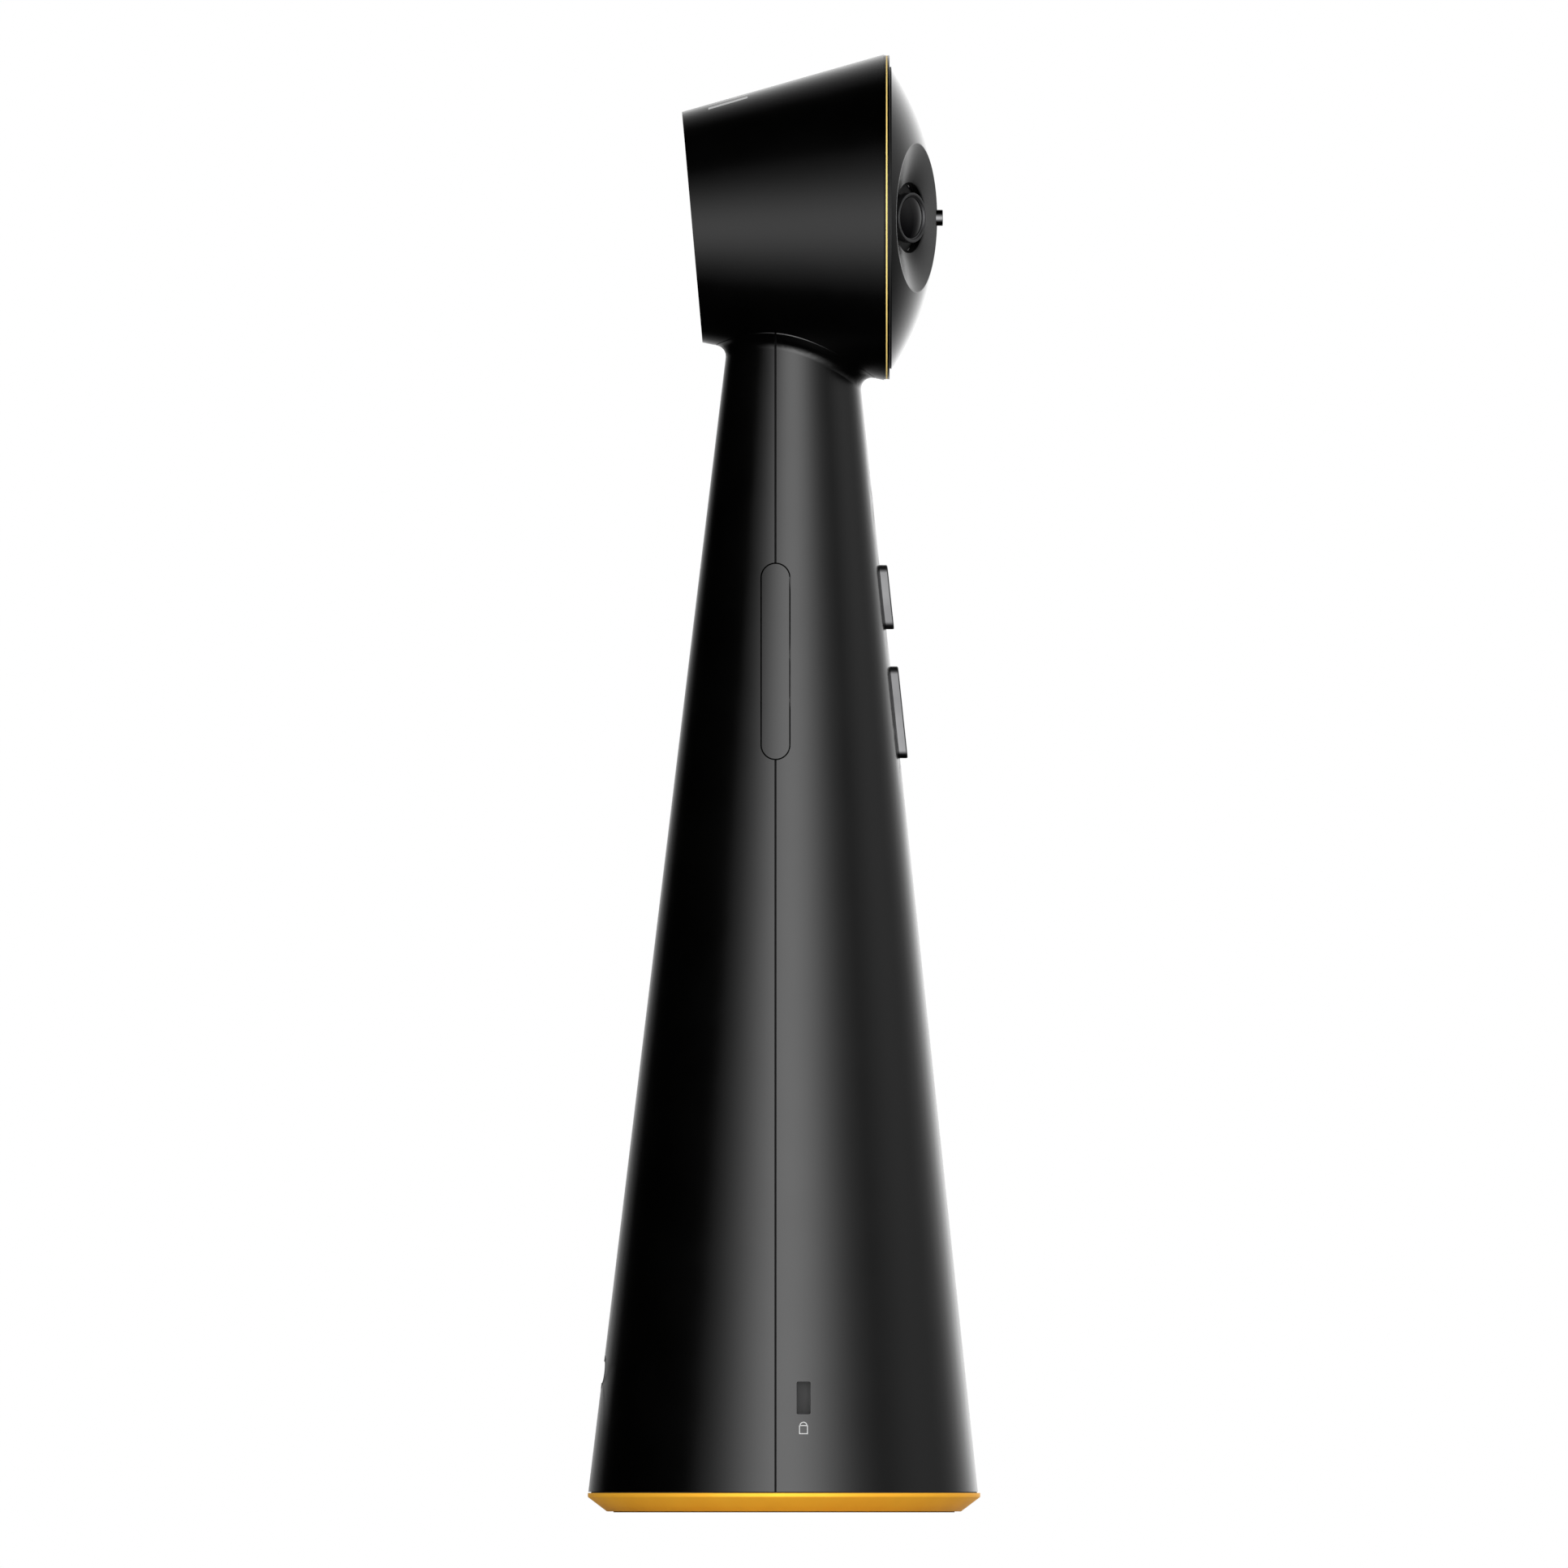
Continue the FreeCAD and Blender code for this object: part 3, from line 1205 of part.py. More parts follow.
def bar_blocks():
    top = (HEAD_AXIS_Z, HEAD_AXIS_Z + WIDE)
    middle = (BAR_COUNT - 1) / 2
    return [box((BAR_X_REAR, BAR_X_FRONT), centred(BAR_WIDTH, (i - middle) * BAR_PITCH), top)
            for i in range(BAR_COUNT)]


def bar_grooves():
    return joined(bar_blocks()).cut(head_solid(BAR_DEPTH))


def top_bars():
    """Five plain bars let in flush with the head's top."""
    skin = head_solid().cut(head_solid(BAR_DEPTH, -OVERCUT, WIDE))
    return [block.common(skin) for block in bar_blocks()]


# Head front

def front_ring(r_outer, r_inner, x_low, x_high):
    return tube(r_outer, r_inner, Vector(x_low, 0, HEAD_AXIS_Z), FORWARD, x_high - x_low)


def front_bezel():
    flange = front_ring(BEZEL_R, BEZEL_BORE_R, HEAD_FRONT_X, HEAD_FRONT_X + BEZEL_WIDTH)
    spigot = front_ring(BEZEL_SPIGOT_R, BEZEL_BORE_R, HEAD_FRONT_X - BEZEL_SPIGOT_LENGTH, HEAD_FRONT_X)
    groove_x = HEAD_FRONT_X + GOLD_RING_OFFSET
    floor_r = GOLD_RING_R - GOLD_RING_DEPTH
    groove = front_ring(BEZEL_R + OVERCUT, floor_r, groove_x, groove_x + GOLD_RING_WIDTH)
    return joined([flange, spigot]).cut(groove)


def gold_ring():
    x = HEAD_FRONT_X + GOLD_RING_OFFSET
    return front_ring(GOLD_RING_R, GOLD_RING_R - GOLD_RING_DEPTH + FIT, x, x + GOLD_RING_WIDTH)


def dome_centre():
    return Vector(DOME_APEX_X - DOME_SPHERE_R, 0, HEAD_AXIS_Z - DOME_DROP)


def circle_at(centre, angle, r):
    """Circle whose normal is turned from +X towards -Y by angle."""
    return Part.Wire(Part.Circle(centre, normal_at(angle), r).toShape())


def lens_opening_centre():
    return Vector(OPENING_X, -OPENING_Y, dome_centre().z)


def normal_at(angle):
    """Direction turned from +X towards -Y by angle."""
    a = math.radians(angle)
    return Vector(math.cos(a), -math.sin(a), 0)


def bowl(push_back, widen):
    """Right hand bowl as a solid, from the lens opening out past the dome's skin.

    It is a cone through the rim's circle and the opening's circle, and a prism in front of it.
    """
    rim_distance = math.sqrt(DOME_SPHERE_R ** 2 - BOWL_R ** 2)
    rim_angle = math.degrees(math.asin(BOWL_Y / rim_distance))
    rim = dome_centre().add(normal_at(rim_angle).multiply(rim_distance))
    opening = lens_opening_centre()
    wide = rim.add(rim.sub(opening).multiply(BOWL_OVERSHOOT))
    wide_angle = rim_angle + (rim_angle - OPENING_ANGLE) * BOWL_OVERSHOOT
    wide_r = BOWL_R + (BOWL_R - OPENING_R) * BOWL_OVERSHOOT
    back = normal_at(rim_angle).multiply(-push_back)
    inner_wire = circle_at(opening.add(back), OPENING_ANGLE, OPENING_R + widen)
    outer_wire = circle_at(wide.add(back), wide_angle, wide_r + widen)
    prism = Part.Face(outer_wire).extrude(normal_at(wide_angle).multiply(BOWL_R))
    return Part.makeLoft([inner_wire, outer_wire], True, True).fuse(prism)


def opening_rod(r, reach):
    """Cylinder through the right hand lens opening, reach behind it."""
    normal = normal_at(OPENING_ANGLE)
    start = lens_opening_centre().sub(Vector(normal).multiply(reach))
    return rod(r, start, normal, reach + OVERCUT)


def dome_cover():
    """Dome with two bowls, two lens openings, a skirt down to the carrier and a hollow inside."""
    front = box((DOME_BASE_X, FAR), (-FAR, FAR), (-FAR, FAR))
    centre = dome_centre()
    outer = Part.makeSphere(DOME_SPHERE_R, centre).common(front)
    carrier_front = CARRIER_X + CARRIER_THICKNESS
    skirt_length = DOME_BASE_X - carrier_front
    skirt = rod(DOME_SKIRT_R, Vector(carrier_front, 0, HEAD_AXIS_Z), FORWARD, skirt_length)
    body = joined([outer, skirt])
    inner_cap = Part.makeSphere(DOME_SPHERE_R - DOME_WALL, centre).common(front)
    inner_r = DOME_SKIRT_R - DOME_SKIRT_WALL
    start = Vector(carrier_front - OVERCUT, 0, HEAD_AXIS_Z)
    hollow = joined([inner_cap, rod(inner_r, start, FORWARD, skirt_length + OVERCUT)])
    hollow = hollow.common(rod(inner_r, start, FORWARD, WIDE))
    wall = bowl(DOME_WALL, DOME_WALL / 2)
    hollow = hollow.cut(wall).cut(mirrored(wall))
    body = body.cut(hollow)
    for tool in (bowl(0, 0), opening_rod(OPENING_R, DOME_OPENING_REACH)):
        body = body.cut(tool).cut(mirrored(tool))
    return body.cut(rod(INDICATOR_R + FIT, Vector(0, 0, dome_centre().z), FORWARD, FAR))


# Lenses

def lens_ring():
    outer = lens_rod(LENS_RING_R, 0, LENS_RING_LENGTH)
    return outer.cut(lens_rod(LENS_RING_R - LENS_RING_WALL, -OVERCUT, LENS_RING_LENGTH + 2 * OVERCUT))


def lens_barrel():
    length = SENSOR_DEPTH - LENS_RING_LENGTH - LENS_BARREL_GAP
    outer = lens_rod(LENS_BARREL_R, LENS_RING_LENGTH, length)
    bore_r = LENS_BARREL_R - LENS_BARREL_WALL
    return outer.cut(lens_rod(bore_r, LENS_RING_LENGTH - OVERCUT, length + 2 * OVERCUT))


def lens_glass():
    """Domed front element, seated on the barrel's front edge inside the ring."""
    r = LENS_RING_R - LENS_RING_WALL - FIT
    sphere_r = (r ** 2 + LENS_GLASS_RISE ** 2) / (2 * LENS_GLASS_RISE)
    body = lens_rod(r, LENS_GLASS_RECESS, LENS_RING_LENGTH - LENS_GLASS_RECESS)
    ball = Part.makeSphere(sphere_r, lens_point(LENS_GLASS_RECESS + sphere_r))
    return body.common(ball)


def lens_holder():
    length = SENSOR_DEPTH - LENS_HOLDER_DEPTH
    block = lens_box(LENS_HOLDER_DEPTH, length, LENS_HOLDER_SIDE, LENS_HOLDER_SIDE)
    return block.cut(lens_rod(LENS_BARREL_R + FIT, LENS_HOLDER_DEPTH - OVERCUT, length + 2 * OVERCUT))


def light_seal():
    length = LENS_HOLDER_DEPTH - LENS_SEAL_DEPTH
    ring = lens_rod(LENS_SEAL_R, LENS_SEAL_DEPTH, length)
    return ring.cut(lens_rod(LENS_BARREL_R + FIT, LENS_SEAL_DEPTH - OVERCUT, length + 2 * OVERCUT))


def image_sensor():
    depth = SENSOR_DEPTH - IMAGE_SENSOR_THICKNESS
    return lens_box(depth, IMAGE_SENSOR_THICKNESS, IMAGE_SENSOR_SIDE, IMAGE_SENSOR_SIDE)


def sensor_board():
    return lens_box(SENSOR_DEPTH, SENSOR_BOARD_THICKNESS, SENSOR_BOARD_SIDE, SENSOR_BOARD_SIDE)


# Lens carrier

def indicator_board_x():
    back = DOME_APEX_X + INDICATOR_PROUD - INDICATOR_LENGTH
    return (back - INDICATOR_BOARD[0], back)


def indicator_lens():
    start = indicator_board_x()[1]
    return rod(INDICATOR_R, Vector(start, 0, dome_centre().z), FORWARD, INDICATOR_LENGTH)


def indicator_board():
    width, height = INDICATOR_BOARD[1:]
    return box(indicator_board_x(), centred(width), centred(height, HEAD_AXIS_Z))


def carrier_pad():
    """Right hand wedge that holds the sensor board square to its lens."""
    x = (CARRIER_X, CARRIER_X + CARRIER_PAD_REACH)
    back = SENSOR_DEPTH + SENSOR_BOARD_THICKNESS
    wedge = box(x, CARRIER_PAD_Y, centred(2 * CARRIER_PAD_HALF_HEIGHT, HEAD_AXIS_Z))
    wedge = wedge.common(lens_box(back, WIDE, WIDE, WIDE))
    return wedge.cut(flex_way(*FLEX_WAY))


def flex_way(width, height):
    """Straight way along X from the head board to the right sensor board's back."""
    middle = lens_point(SENSOR_DEPTH + SENSOR_BOARD_THICKNESS)
    way = box((CARRIER_X, WIDE), centred(width, middle.y), centred(height, HEAD_AXIS_Z))
    return way.common(lens_box(SENSOR_DEPTH + SENSOR_BOARD_THICKNESS, WIDE, 2 * WIDE, 2 * WIDE))


def carrier_legs():
    """Two legs past the lenses that carry the indicator board."""
    legs = []
    for side in (-1, 1):
        z = HEAD_AXIS_Z + side * (INDICATOR_BOARD[2] - CARRIER_LEG[1]) / 2
        leg_x = (CARRIER_X, indicator_board_x()[0])
        legs.append(box(leg_x, centred(CARRIER_LEG[0]), centred(CARRIER_LEG[1], z)))
    return legs


def lens_carrier():
    """Plate across the head with two wedges for the sensor boards and two legs."""
    plate = rod(CARRIER_R, Vector(CARRIER_X, 0, HEAD_AXIS_Z), FORWARD, CARRIER_THICKNESS)
    plate = plate.cut(flex_way(*FLEX_WAY)).cut(mirrored(flex_way(*FLEX_WAY)))
    pads = [carrier_pad(), mirrored(carrier_pad())]
    body = joined([plate] + pads + carrier_legs())
    screws = carrier_screws() + bracket_screws()
    return body.cut(joined(screws))


def carrier_screws():
    x = CARRIER_X + CARRIER_THICKNESS
    return [screw(M2_5, point, Vector(-1, 0, 0), M2_5_LENGTH) for point in carrier_boss_points(x)]


def head_board_z():
    return centred(HEAD_BOARD[2], HEAD_AXIS_Z)


def head_board():
    """Board on the carrier's rear face, with the ribbon's connector."""
    back = CARRIER_X - HEAD_BOARD[0]
    board = box((back, CARRIER_X), centred(HEAD_BOARD[1]), head_board_z())
    low = head_board_z()[0] + RIBBON_TUCK
    width = RIBBON_WIDTH + CONNECTOR_MARGIN
    connector = box((back - CONNECTOR[0], back), centred(width), (low, low + CONNECTOR[1]))
    return joined([board, connector])


def sensor_flex():
    return flex_way(FLEX_THICKNESS, SENSOR_FLEX_WIDTH)


# Assembly

def both_hands(name, shape):
    return {name + "_right": shape, name + "_left": mirrored(shape)}


def build():
    whole = envelope()
    body = stem_body(whole)
    board_front_x = main_board_x()[1]
    nodes = {
        "base_ring": base_ring(),
        "base_plate": base_plate(),
        "rubber_foot": rubber_foot(),
        "tripod_insert": tripod_insert(),
        "ballast_weight": ballast_weight(),
        "base_screws": base_screws(),
        "front_shell": front_shell(body),
        "rear_shell": rear_shell(body),
        "lock_plate": lock_plate(),
        "port_bezel": port_bezel(),
        "usb_socket": usb_socket(),
        "port_board": port_board(),
        "port_flex": port_flex(board_front_x),
        "spine": spine(),
        "spine_screws": spine_screws(),
        "main_board": main_board(),
        "processor": on_board(PROCESSOR, PROCESSOR_Z),
        "memory_chips": memory_chips(),
        "thermal_pad": thermal_pad(),
        "heat_sink": heat_sink(),
        "stem_small_screws": board_screws() + button_bracket_screws(),
        "upper_button": upper_button(),
        "lower_button": lower_button(),
        "rocker_pin": rocker_pin(),
        "button_bracket": button_bracket(),
        "button_board": button_board(),
        "button_switches": button_switches(),
        "button_flex": button_flex(board_front_x),
        "mic_gasket": mic_gasket(),
        "mic_board": mic_board(),
        "light_boards": [light_board(), mirrored(light_board())],
        "neck_bracket": neck_bracket(),
        "neck_screws": neck_screws(),
        "head_small_screws": bracket_screws() + carrier_screws(),
        "head_ribbon": head_ribbon(board_front_x),
        "head_shell": head_shell(whole),
        "rear_cap": rear_cap(),
        "top_bars": top_bars(),
        "front_bezel": front_bezel(),
        "gold_ring": gold_ring(),
        "dome_cover": dome_cover(),
        "indicator_lens": indicator_lens(),
        "indicator_board": indicator_board(),
        "lens_carrier": lens_carrier(),
        "head_board": head_board(),
        "sensor_flexes": [sensor_flex(), mirrored(sensor_flex())],
        "image_sensors": [image_sensor(), mirrored(image_sensor())],
        "lens_holders": [lens_holder(), mirrored(lens_holder())],
        "light_seals": [light_seal(), mirrored(light_seal())],
    }
    nodes.update(both_hands("status_window", status_window()))
    nodes.update(both_hands("sensor_board", sensor_board()))
    nodes.update(both_hands("lens_barrel", lens_barrel()))
    nodes.update(both_hands("lens_ring", lens_ring()))
    nodes.update(both_hands("lens_glass", lens_glass()))
    return nodes


def main():
    os.makedirs("parts", exist_ok=True)
    for name, shape in build().items():
        pieces = shape if isinstance(shape, list) else [shape]
        solids = [solid for piece in pieces for solid in piece.Solids]
        whole = Part.makeCompound(solids) if len(solids) > 1 else solids[0]
        whole.exportStep("parts/" + name + ".step")
        print(name, len(solids), round(whole.Volume, 2), whole.isValid())


main()
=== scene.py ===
import json
import logging
import math
from collections.abc import Callable
from dataclasses import dataclass
from enum import Enum

import bmesh
import bpy
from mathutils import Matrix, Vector
from mathutils.geometry import intersect_line_line


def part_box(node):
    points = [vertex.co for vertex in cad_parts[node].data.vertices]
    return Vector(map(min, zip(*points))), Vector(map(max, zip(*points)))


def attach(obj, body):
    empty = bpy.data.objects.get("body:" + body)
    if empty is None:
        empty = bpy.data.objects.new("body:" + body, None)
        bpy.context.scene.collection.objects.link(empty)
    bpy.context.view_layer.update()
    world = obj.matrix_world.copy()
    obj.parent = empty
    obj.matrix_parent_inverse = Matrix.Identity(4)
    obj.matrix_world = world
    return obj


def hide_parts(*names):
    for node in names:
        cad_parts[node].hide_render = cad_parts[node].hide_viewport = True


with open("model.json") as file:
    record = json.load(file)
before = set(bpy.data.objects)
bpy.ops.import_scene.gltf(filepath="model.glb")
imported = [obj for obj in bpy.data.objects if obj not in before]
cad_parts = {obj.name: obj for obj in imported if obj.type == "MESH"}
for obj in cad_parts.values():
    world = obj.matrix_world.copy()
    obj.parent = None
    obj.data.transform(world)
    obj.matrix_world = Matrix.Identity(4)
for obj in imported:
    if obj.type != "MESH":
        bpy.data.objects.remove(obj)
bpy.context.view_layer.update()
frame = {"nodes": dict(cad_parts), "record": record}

# Looks of a panoramic conference camera. The frame and the studio are in metres; the pieces' sizes are
# in millimetres and go through MM. +Z is up, +X is the front, and the photograph looks along +Y.

log = logging.getLogger("conference_camera")
MM = 0.001
Pair = tuple[float, float]
Triple = tuple[float, float, float]
Piece = bpy.types.Object
Socket = bpy.types.NodeSocket

HEAD_AXIS_Z = 277.2
DOME_AXIS_Z = 277.1
LENS_CENTRE = (26.86, -13.8)
INDICATOR_NECK_R = 0.5
CAMERA_BODY = "camera"
BLACK = 0.0002
BLACK_TINT = 0.0004
# Room between a piece and the groove or hole that it stands in.
CLEARANCE = 0.02
# Sides of a small turned part, and how sharp an edge, in degrees, stays sharp on most turned parts.
SMALL_SIDES = 96
SOFT_EDGE_ANGLE = 35.0
# Corners closer than SAME_PLACE are one, and a corner within SAME_RING of a ring is on it, in metres.
SAME_PLACE = 1e-7
SAME_RING = 1e-6
# What is further than this from a skin, in millimetres, doesn't lie on it.
OFF_SKIN = 0.05
# Outline lines of the stem and the head in the middle plane, as two points (x, z) each.
STEM_REAR_LINE = ((-13.74, 236.9), (-41.9, 4.4))
STEM_FRONT_LINE = ((16.86, 236.9), (41.5, 4.4))
HEAD_TOP_LINE = ((-19.7, 300.374), (21.4, 312.05))
HEAD_BOTTOM_LINE = ((-19.7, 250.846), (21.4, 242.35))


# Finishes

class Axis(Enum):
    """The axis that a relief runs round."""

    STEM = "upright, through the origin"
    HEAD = "along X, at the head's height"


class Texture(Enum):
    """The small relief that a finish carries."""

    MOULDED = "even grain of a spark-eroded mould"
    CAST = "lumpy skin of a casting"
    TURNED = "fine rings left by a lathe"
    BRUSHED = "straight fine scratches"
    WIPED = "polished, with faint wiping marks"
    TRACKED = "copper tracks under lacquer"


NOISE = {
    Texture.MOULDED: {"Detail": 2.0, "Roughness": 0.6},
    Texture.CAST: {"Detail": 5.0, "Roughness": 0.6},
    Texture.TURNED: {"Detail": 2.0},
    Texture.BRUSHED: {"Detail": 2.0},
    Texture.WIPED: {"Detail": 4.0, "Distortion": 1.5},
}


@dataclass(frozen=True)
class Finish:
    """One finish: its two drifting colours or greys, its gloss, and the relief on it in millimetres."""

    colour: float | Triple
    tint: float | Triple
    roughness: float
    texture: Texture = Texture.MOULDED
    spread: float = 0.03
    metallic: float = 0.0
    specular: float = 0.5
    coat: float = 0.0
    grain: float = 0.3
    depth: float = 0.001
    drift: float = 15.0
    axis: Axis = Axis.STEM


FINISHES = {
    "stem_black": Finish(BLACK, BLACK_TINT, 0.24, spread=0.015),
    "head_black": Finish(BLACK, BLACK_TINT, 0.24, spread=0.015, specular=0.35),
    "dome_black": Finish(BLACK, BLACK_TINT, 0.17, spread=0.015, specular=0.42, grain=0.2),
    # The bowls' own black is rougher than the dome, like the real bowls. Its low sheen is painted shade
    # for the back light the bowls' walls keep off, and its lifted grey is painted fill light where the
    # indicator's shade falls.
    "bowl_shade_and_fill": Finish(0.006, 0.0075, 0.26, spread=0.015, specular=0.12, grain=0.2),
    "window_black": Finish(BLACK, 0.0005, 0.22, spread=0.01, grain=0.2),
    # Painted shade: a dull black without sheen for the floors and walls of the stem's seam and window
    # joint.
    "groove_painted_shade": Finish(0.004, 0.006, 0.6, specular=0.12),
    "port_black": Finish(0.004, 0.007, 0.45),
    "carrier_black": Finish(0.006, 0.01, 0.55),
    "key_black": Finish((0.118, 0.118, 0.12), (0.095, 0.095, 0.097), 0.3, Texture.BRUSHED,
                        metallic=1.0, grain=0.12, depth=0.0006),
    "indicator_black": Finish((0.13, 0.13, 0.132), (0.11, 0.11, 0.112), 0.05, Texture.WIPED,
                              metallic=1.0),
    "bar_grey": Finish(0.38, 0.32, 0.4),
    "gold_ring_metal": Finish((0.98, 0.5, 0.034), (0.92, 0.45, 0.028), 0.57, Texture.TURNED,
                              metallic=0.6, grain=0.08, depth=0.0008),
    "gold_line_metal": Finish((0.77, 0.57, 0.18), (0.72, 0.52, 0.16), 0.5, Texture.TURNED,
                              metallic=0.2, grain=0.08, depth=0.0006, axis=Axis.HEAD),
    "bezel_metal": Finish((0.017, 0.017, 0.0175), (0.012, 0.012, 0.0125), 0.3, Texture.TURNED,
                          metallic=1.0, grain=0.1, depth=0.0006, axis=Axis.HEAD),
    "lens_ring_metal": Finish((0.09, 0.09, 0.092), (0.07, 0.07, 0.072), 0.36, Texture.WIPED,
                              metallic=0.9),
    "lens_metal": Finish(0.02, 0.012, 0.4, Texture.WIPED, metallic=0.4, specular=0.2),
    "lens_glass": Finish((0.0004, 0.0004, 0.0006), (0.0006, 0.0004, 0.0008), 0.03, Texture.WIPED,
                         spread=0.01, specular=0.2),
    "sensor_glass": Finish((0.02, 0.03, 0.05), (0.05, 0.02, 0.06), 0.1, Texture.WIPED, coat=1.0),
    "foot_rubber": Finish(0.012, 0.02, 0.75, grain=0.5, depth=0.01),
    "thermal_rubber": Finish((0.25, 0.3, 0.36), (0.2, 0.25, 0.3), 0.7, Texture.CAST, depth=0.01),
    "cast_metal": Finish((0.3, 0.3, 0.31), (0.22, 0.22, 0.23), 0.45, Texture.CAST, metallic=1.0,
                         grain=0.8, depth=0.02),
    "ballast_iron": Finish((0.1, 0.095, 0.09), (0.16, 0.13, 0.1), 0.6, Texture.CAST, metallic=1.0,
                           grain=1.2, depth=0.04),
    "brass": Finish((0.75, 0.5, 0.18), (0.6, 0.38, 0.12), 0.28, Texture.TURNED, metallic=1.0,
                    grain=0.12, depth=0.001),
    "screw_steel": Finish((0.45, 0.45, 0.46), (0.35, 0.35, 0.36), 0.3, Texture.WIPED, metallic=1.0),
    "lock_steel": Finish(0.055, 0.04, 0.42, Texture.BRUSHED, metallic=0.6, grain=0.15),
    "heat_sink_aluminium": Finish((0.6, 0.6, 0.62), (0.5, 0.5, 0.52), 0.35, Texture.BRUSHED,
                                  metallic=1.0, grain=0.2, depth=0.003),
    "board_green": Finish((0.01, 0.09, 0.03), (0.03, 0.18, 0.07), 0.35, Texture.TRACKED, grain=0.8,
                          depth=0.02),
    "flex_amber": Finish((0.5, 0.2, 0.03), (0.7, 0.36, 0.1), 0.3, Texture.TRACKED, grain=0.5,
                         depth=0.01),
    "chip_black": Finish((0.01, 0.01, 0.011), (0.016, 0.016, 0.017), 0.5, grain=0.15, depth=0.003),
}


def opaque(colour: float | Triple) -> tuple[float, float, float, float]:
    """Gives a colour or a grey as Blender's four numbers."""
    return (*colour, 1.0) if isinstance(colour, tuple) else (colour, colour, colour, 1.0)


class NodeTree:
    """Lays out the nodes of one material or world."""

    def __init__(self, owner: bpy.types.ID) -> None:
        """Clears the owner's nodes and starts again.

        Args:
            owner: the material or world.
        """
        owner.use_nodes = True
        self._tree = owner.node_tree
        self._tree.nodes.clear()

    def node(self, kind: str, inputs: dict[str | int, object] | None = None,
             output: str | int = 0, **settings: object) -> Socket | None:
        """Adds a node and sets it.

        Args:
            kind: Blender's name of the node type, without its ShaderNode prefix.
            inputs: input name or number to a value, or to a socket that is wired to it.
            output: the name or number of the output that is wanted.
            settings: properties of the node itself.

        Returns:
            The node's output, or None for a node that has none.
        """
        made = self._tree.nodes.new("ShaderNode" + kind)
        for name, value in settings.items():
            setattr(made, name, value)
        for name, value in (inputs or {}).items():
            socket = made.inputs[name]
            if isinstance(value, Socket):
                self._tree.links.new(value, socket)
            else:
                socket.default_value = value
        return made.outputs[output] if made.outputs else None


class FinishShop:
    """Makes the material of each finish, once."""

    TINT_RANGE = (0.35, 0.65)
    GLOSS_RANGE = (0.3, 0.7)
    BRUSH_STRETCH = 0.04
    WIPE_SCALE = 0.2
    IOR = 1.5

    def __init__(self) -> None:
        """Starts with no material made."""
        self._made: dict[str, bpy.types.Material] = {}

    def material(self, slot: str) -> bpy.types.Material:
        """Gives the material of a slot.

        Args:
            slot: the record's material slot.

        Returns:
            The material, made at the first call.
        """
        if slot not in self._made:
            self._made[slot] = self._make(slot, FINISHES[slot])
        return self._made[slot]

    def dress(self, piece: Piece, slot: str) -> None:
        """Gives a piece the material of a slot, in place of what it has.

        Args:
            piece: the object to dress.
            slot: the record's material slot.
        """
        piece.data.materials.clear()
        piece.data.materials.append(self.material(slot))

    def _make(self, slot: str, finish: Finish) -> bpy.types.Material:
        """Builds a finish's nodes: drifting colour and gloss, and a relief on Object coordinates.

        Args:
            slot: the name for the material.
            finish: what to build.

        Returns:
            The new material.
        """
        material = bpy.data.materials.new(slot)
        tree = NodeTree(material)
        place = self._coordinates(tree, finish)
        drift = tree.node("TexNoise", {"Vector": place, "Scale": 1 / (finish.drift * MM),
                                       "Detail": 3.0})
        height = self._height(tree, finish, place)
        mask = height if finish.texture is Texture.TRACKED else drift
        blend = tree.node("MapRange", {"Value": mask, "From Min": self.TINT_RANGE[0],
                                       "From Max": self.TINT_RANGE[1]})
        colour = tree.node("MixRGB", {"Fac": blend, "Color1": opaque(finish.colour),
                                      "Color2": opaque(finish.tint)})
        gloss = tree.node("MapRange", {"Value": drift, "From Min": self.GLOSS_RANGE[0],
                                       "From Max": self.GLOSS_RANGE[1],
                                       "To Min": finish.roughness - finish.spread,
                                       "To Max": finish.roughness + finish.spread})
        bump = tree.node("Bump", {"Height": height, "Distance": finish.depth * MM, "Strength": 1.0})
        surface = tree.node("BsdfPrincipled", {
            "Base Color": colour, "Roughness": gloss, "Normal": bump, "Metallic": finish.metallic,
            "Specular IOR Level": finish.specular, "Coat Weight": finish.coat, "IOR": self.IOR,
        })
        tree.node("OutputMaterial", {"Surface": surface})
        return material

    def _coordinates(self, tree: NodeTree, finish: Finish) -> Socket:
        """Lays out Object coordinates, with the finish's axis moved to the origin and upright.

        Args:
            tree: where the nodes go.
            finish: the finish being made.

        Returns:
            The vector socket.
        """
        fall, turn = (-HEAD_AXIS_Z * MM, -math.pi / 2) if finish.axis is Axis.HEAD else (0.0, 0.0)
        source = tree.node("TexCoord", output="Object")
        shift = tree.node("Mapping", {"Vector": source, "Location": (0.0, 0.0, fall)})
        return tree.node("Mapping", {"Vector": shift, "Rotation": (0.0, turn, 0.0)})

    def _height(self, tree: NodeTree, finish: Finish, place: Socket) -> Socket:
        """Lays out the relief of a finish, from 0 to 1.

        Args:
            tree: where the nodes go.
            finish: the finish being made.
            place: the coordinates that it follows.

        Returns:
            The height socket.
        """
        scale = 1 / (finish.grain * MM)
        if finish.texture is Texture.TRACKED:
            return tree.node("TexVoronoi", {"Vector": place, "Scale": scale, "Randomness": 0.6},
                             distance="MANHATTAN")
        if finish.texture is Texture.TURNED:
            flat = tree.node("VectorMath", {0: place, 1: (1.0, 1.0, 0.0)}, operation="MULTIPLY")
            radius = tree.node("VectorMath", {0: flat}, "Value", operation="LENGTH")
            along = tree.node("SeparateXYZ", {"Vector": place}, "Z")
            place = tree.node("CombineXYZ", {"X": radius, "Y": along})
        elif finish.texture is Texture.BRUSHED:
            place = tree.node("Mapping", {"Vector": place, "Scale": (1.0, 1.0, self.BRUSH_STRETCH)})
        elif finish.texture is Texture.WIPED:
            scale *= self.WIPE_SCALE
        return tree.node("TexNoise", {"Vector": place, "Scale": scale, **NOISE[finish.texture]})


# Workshop

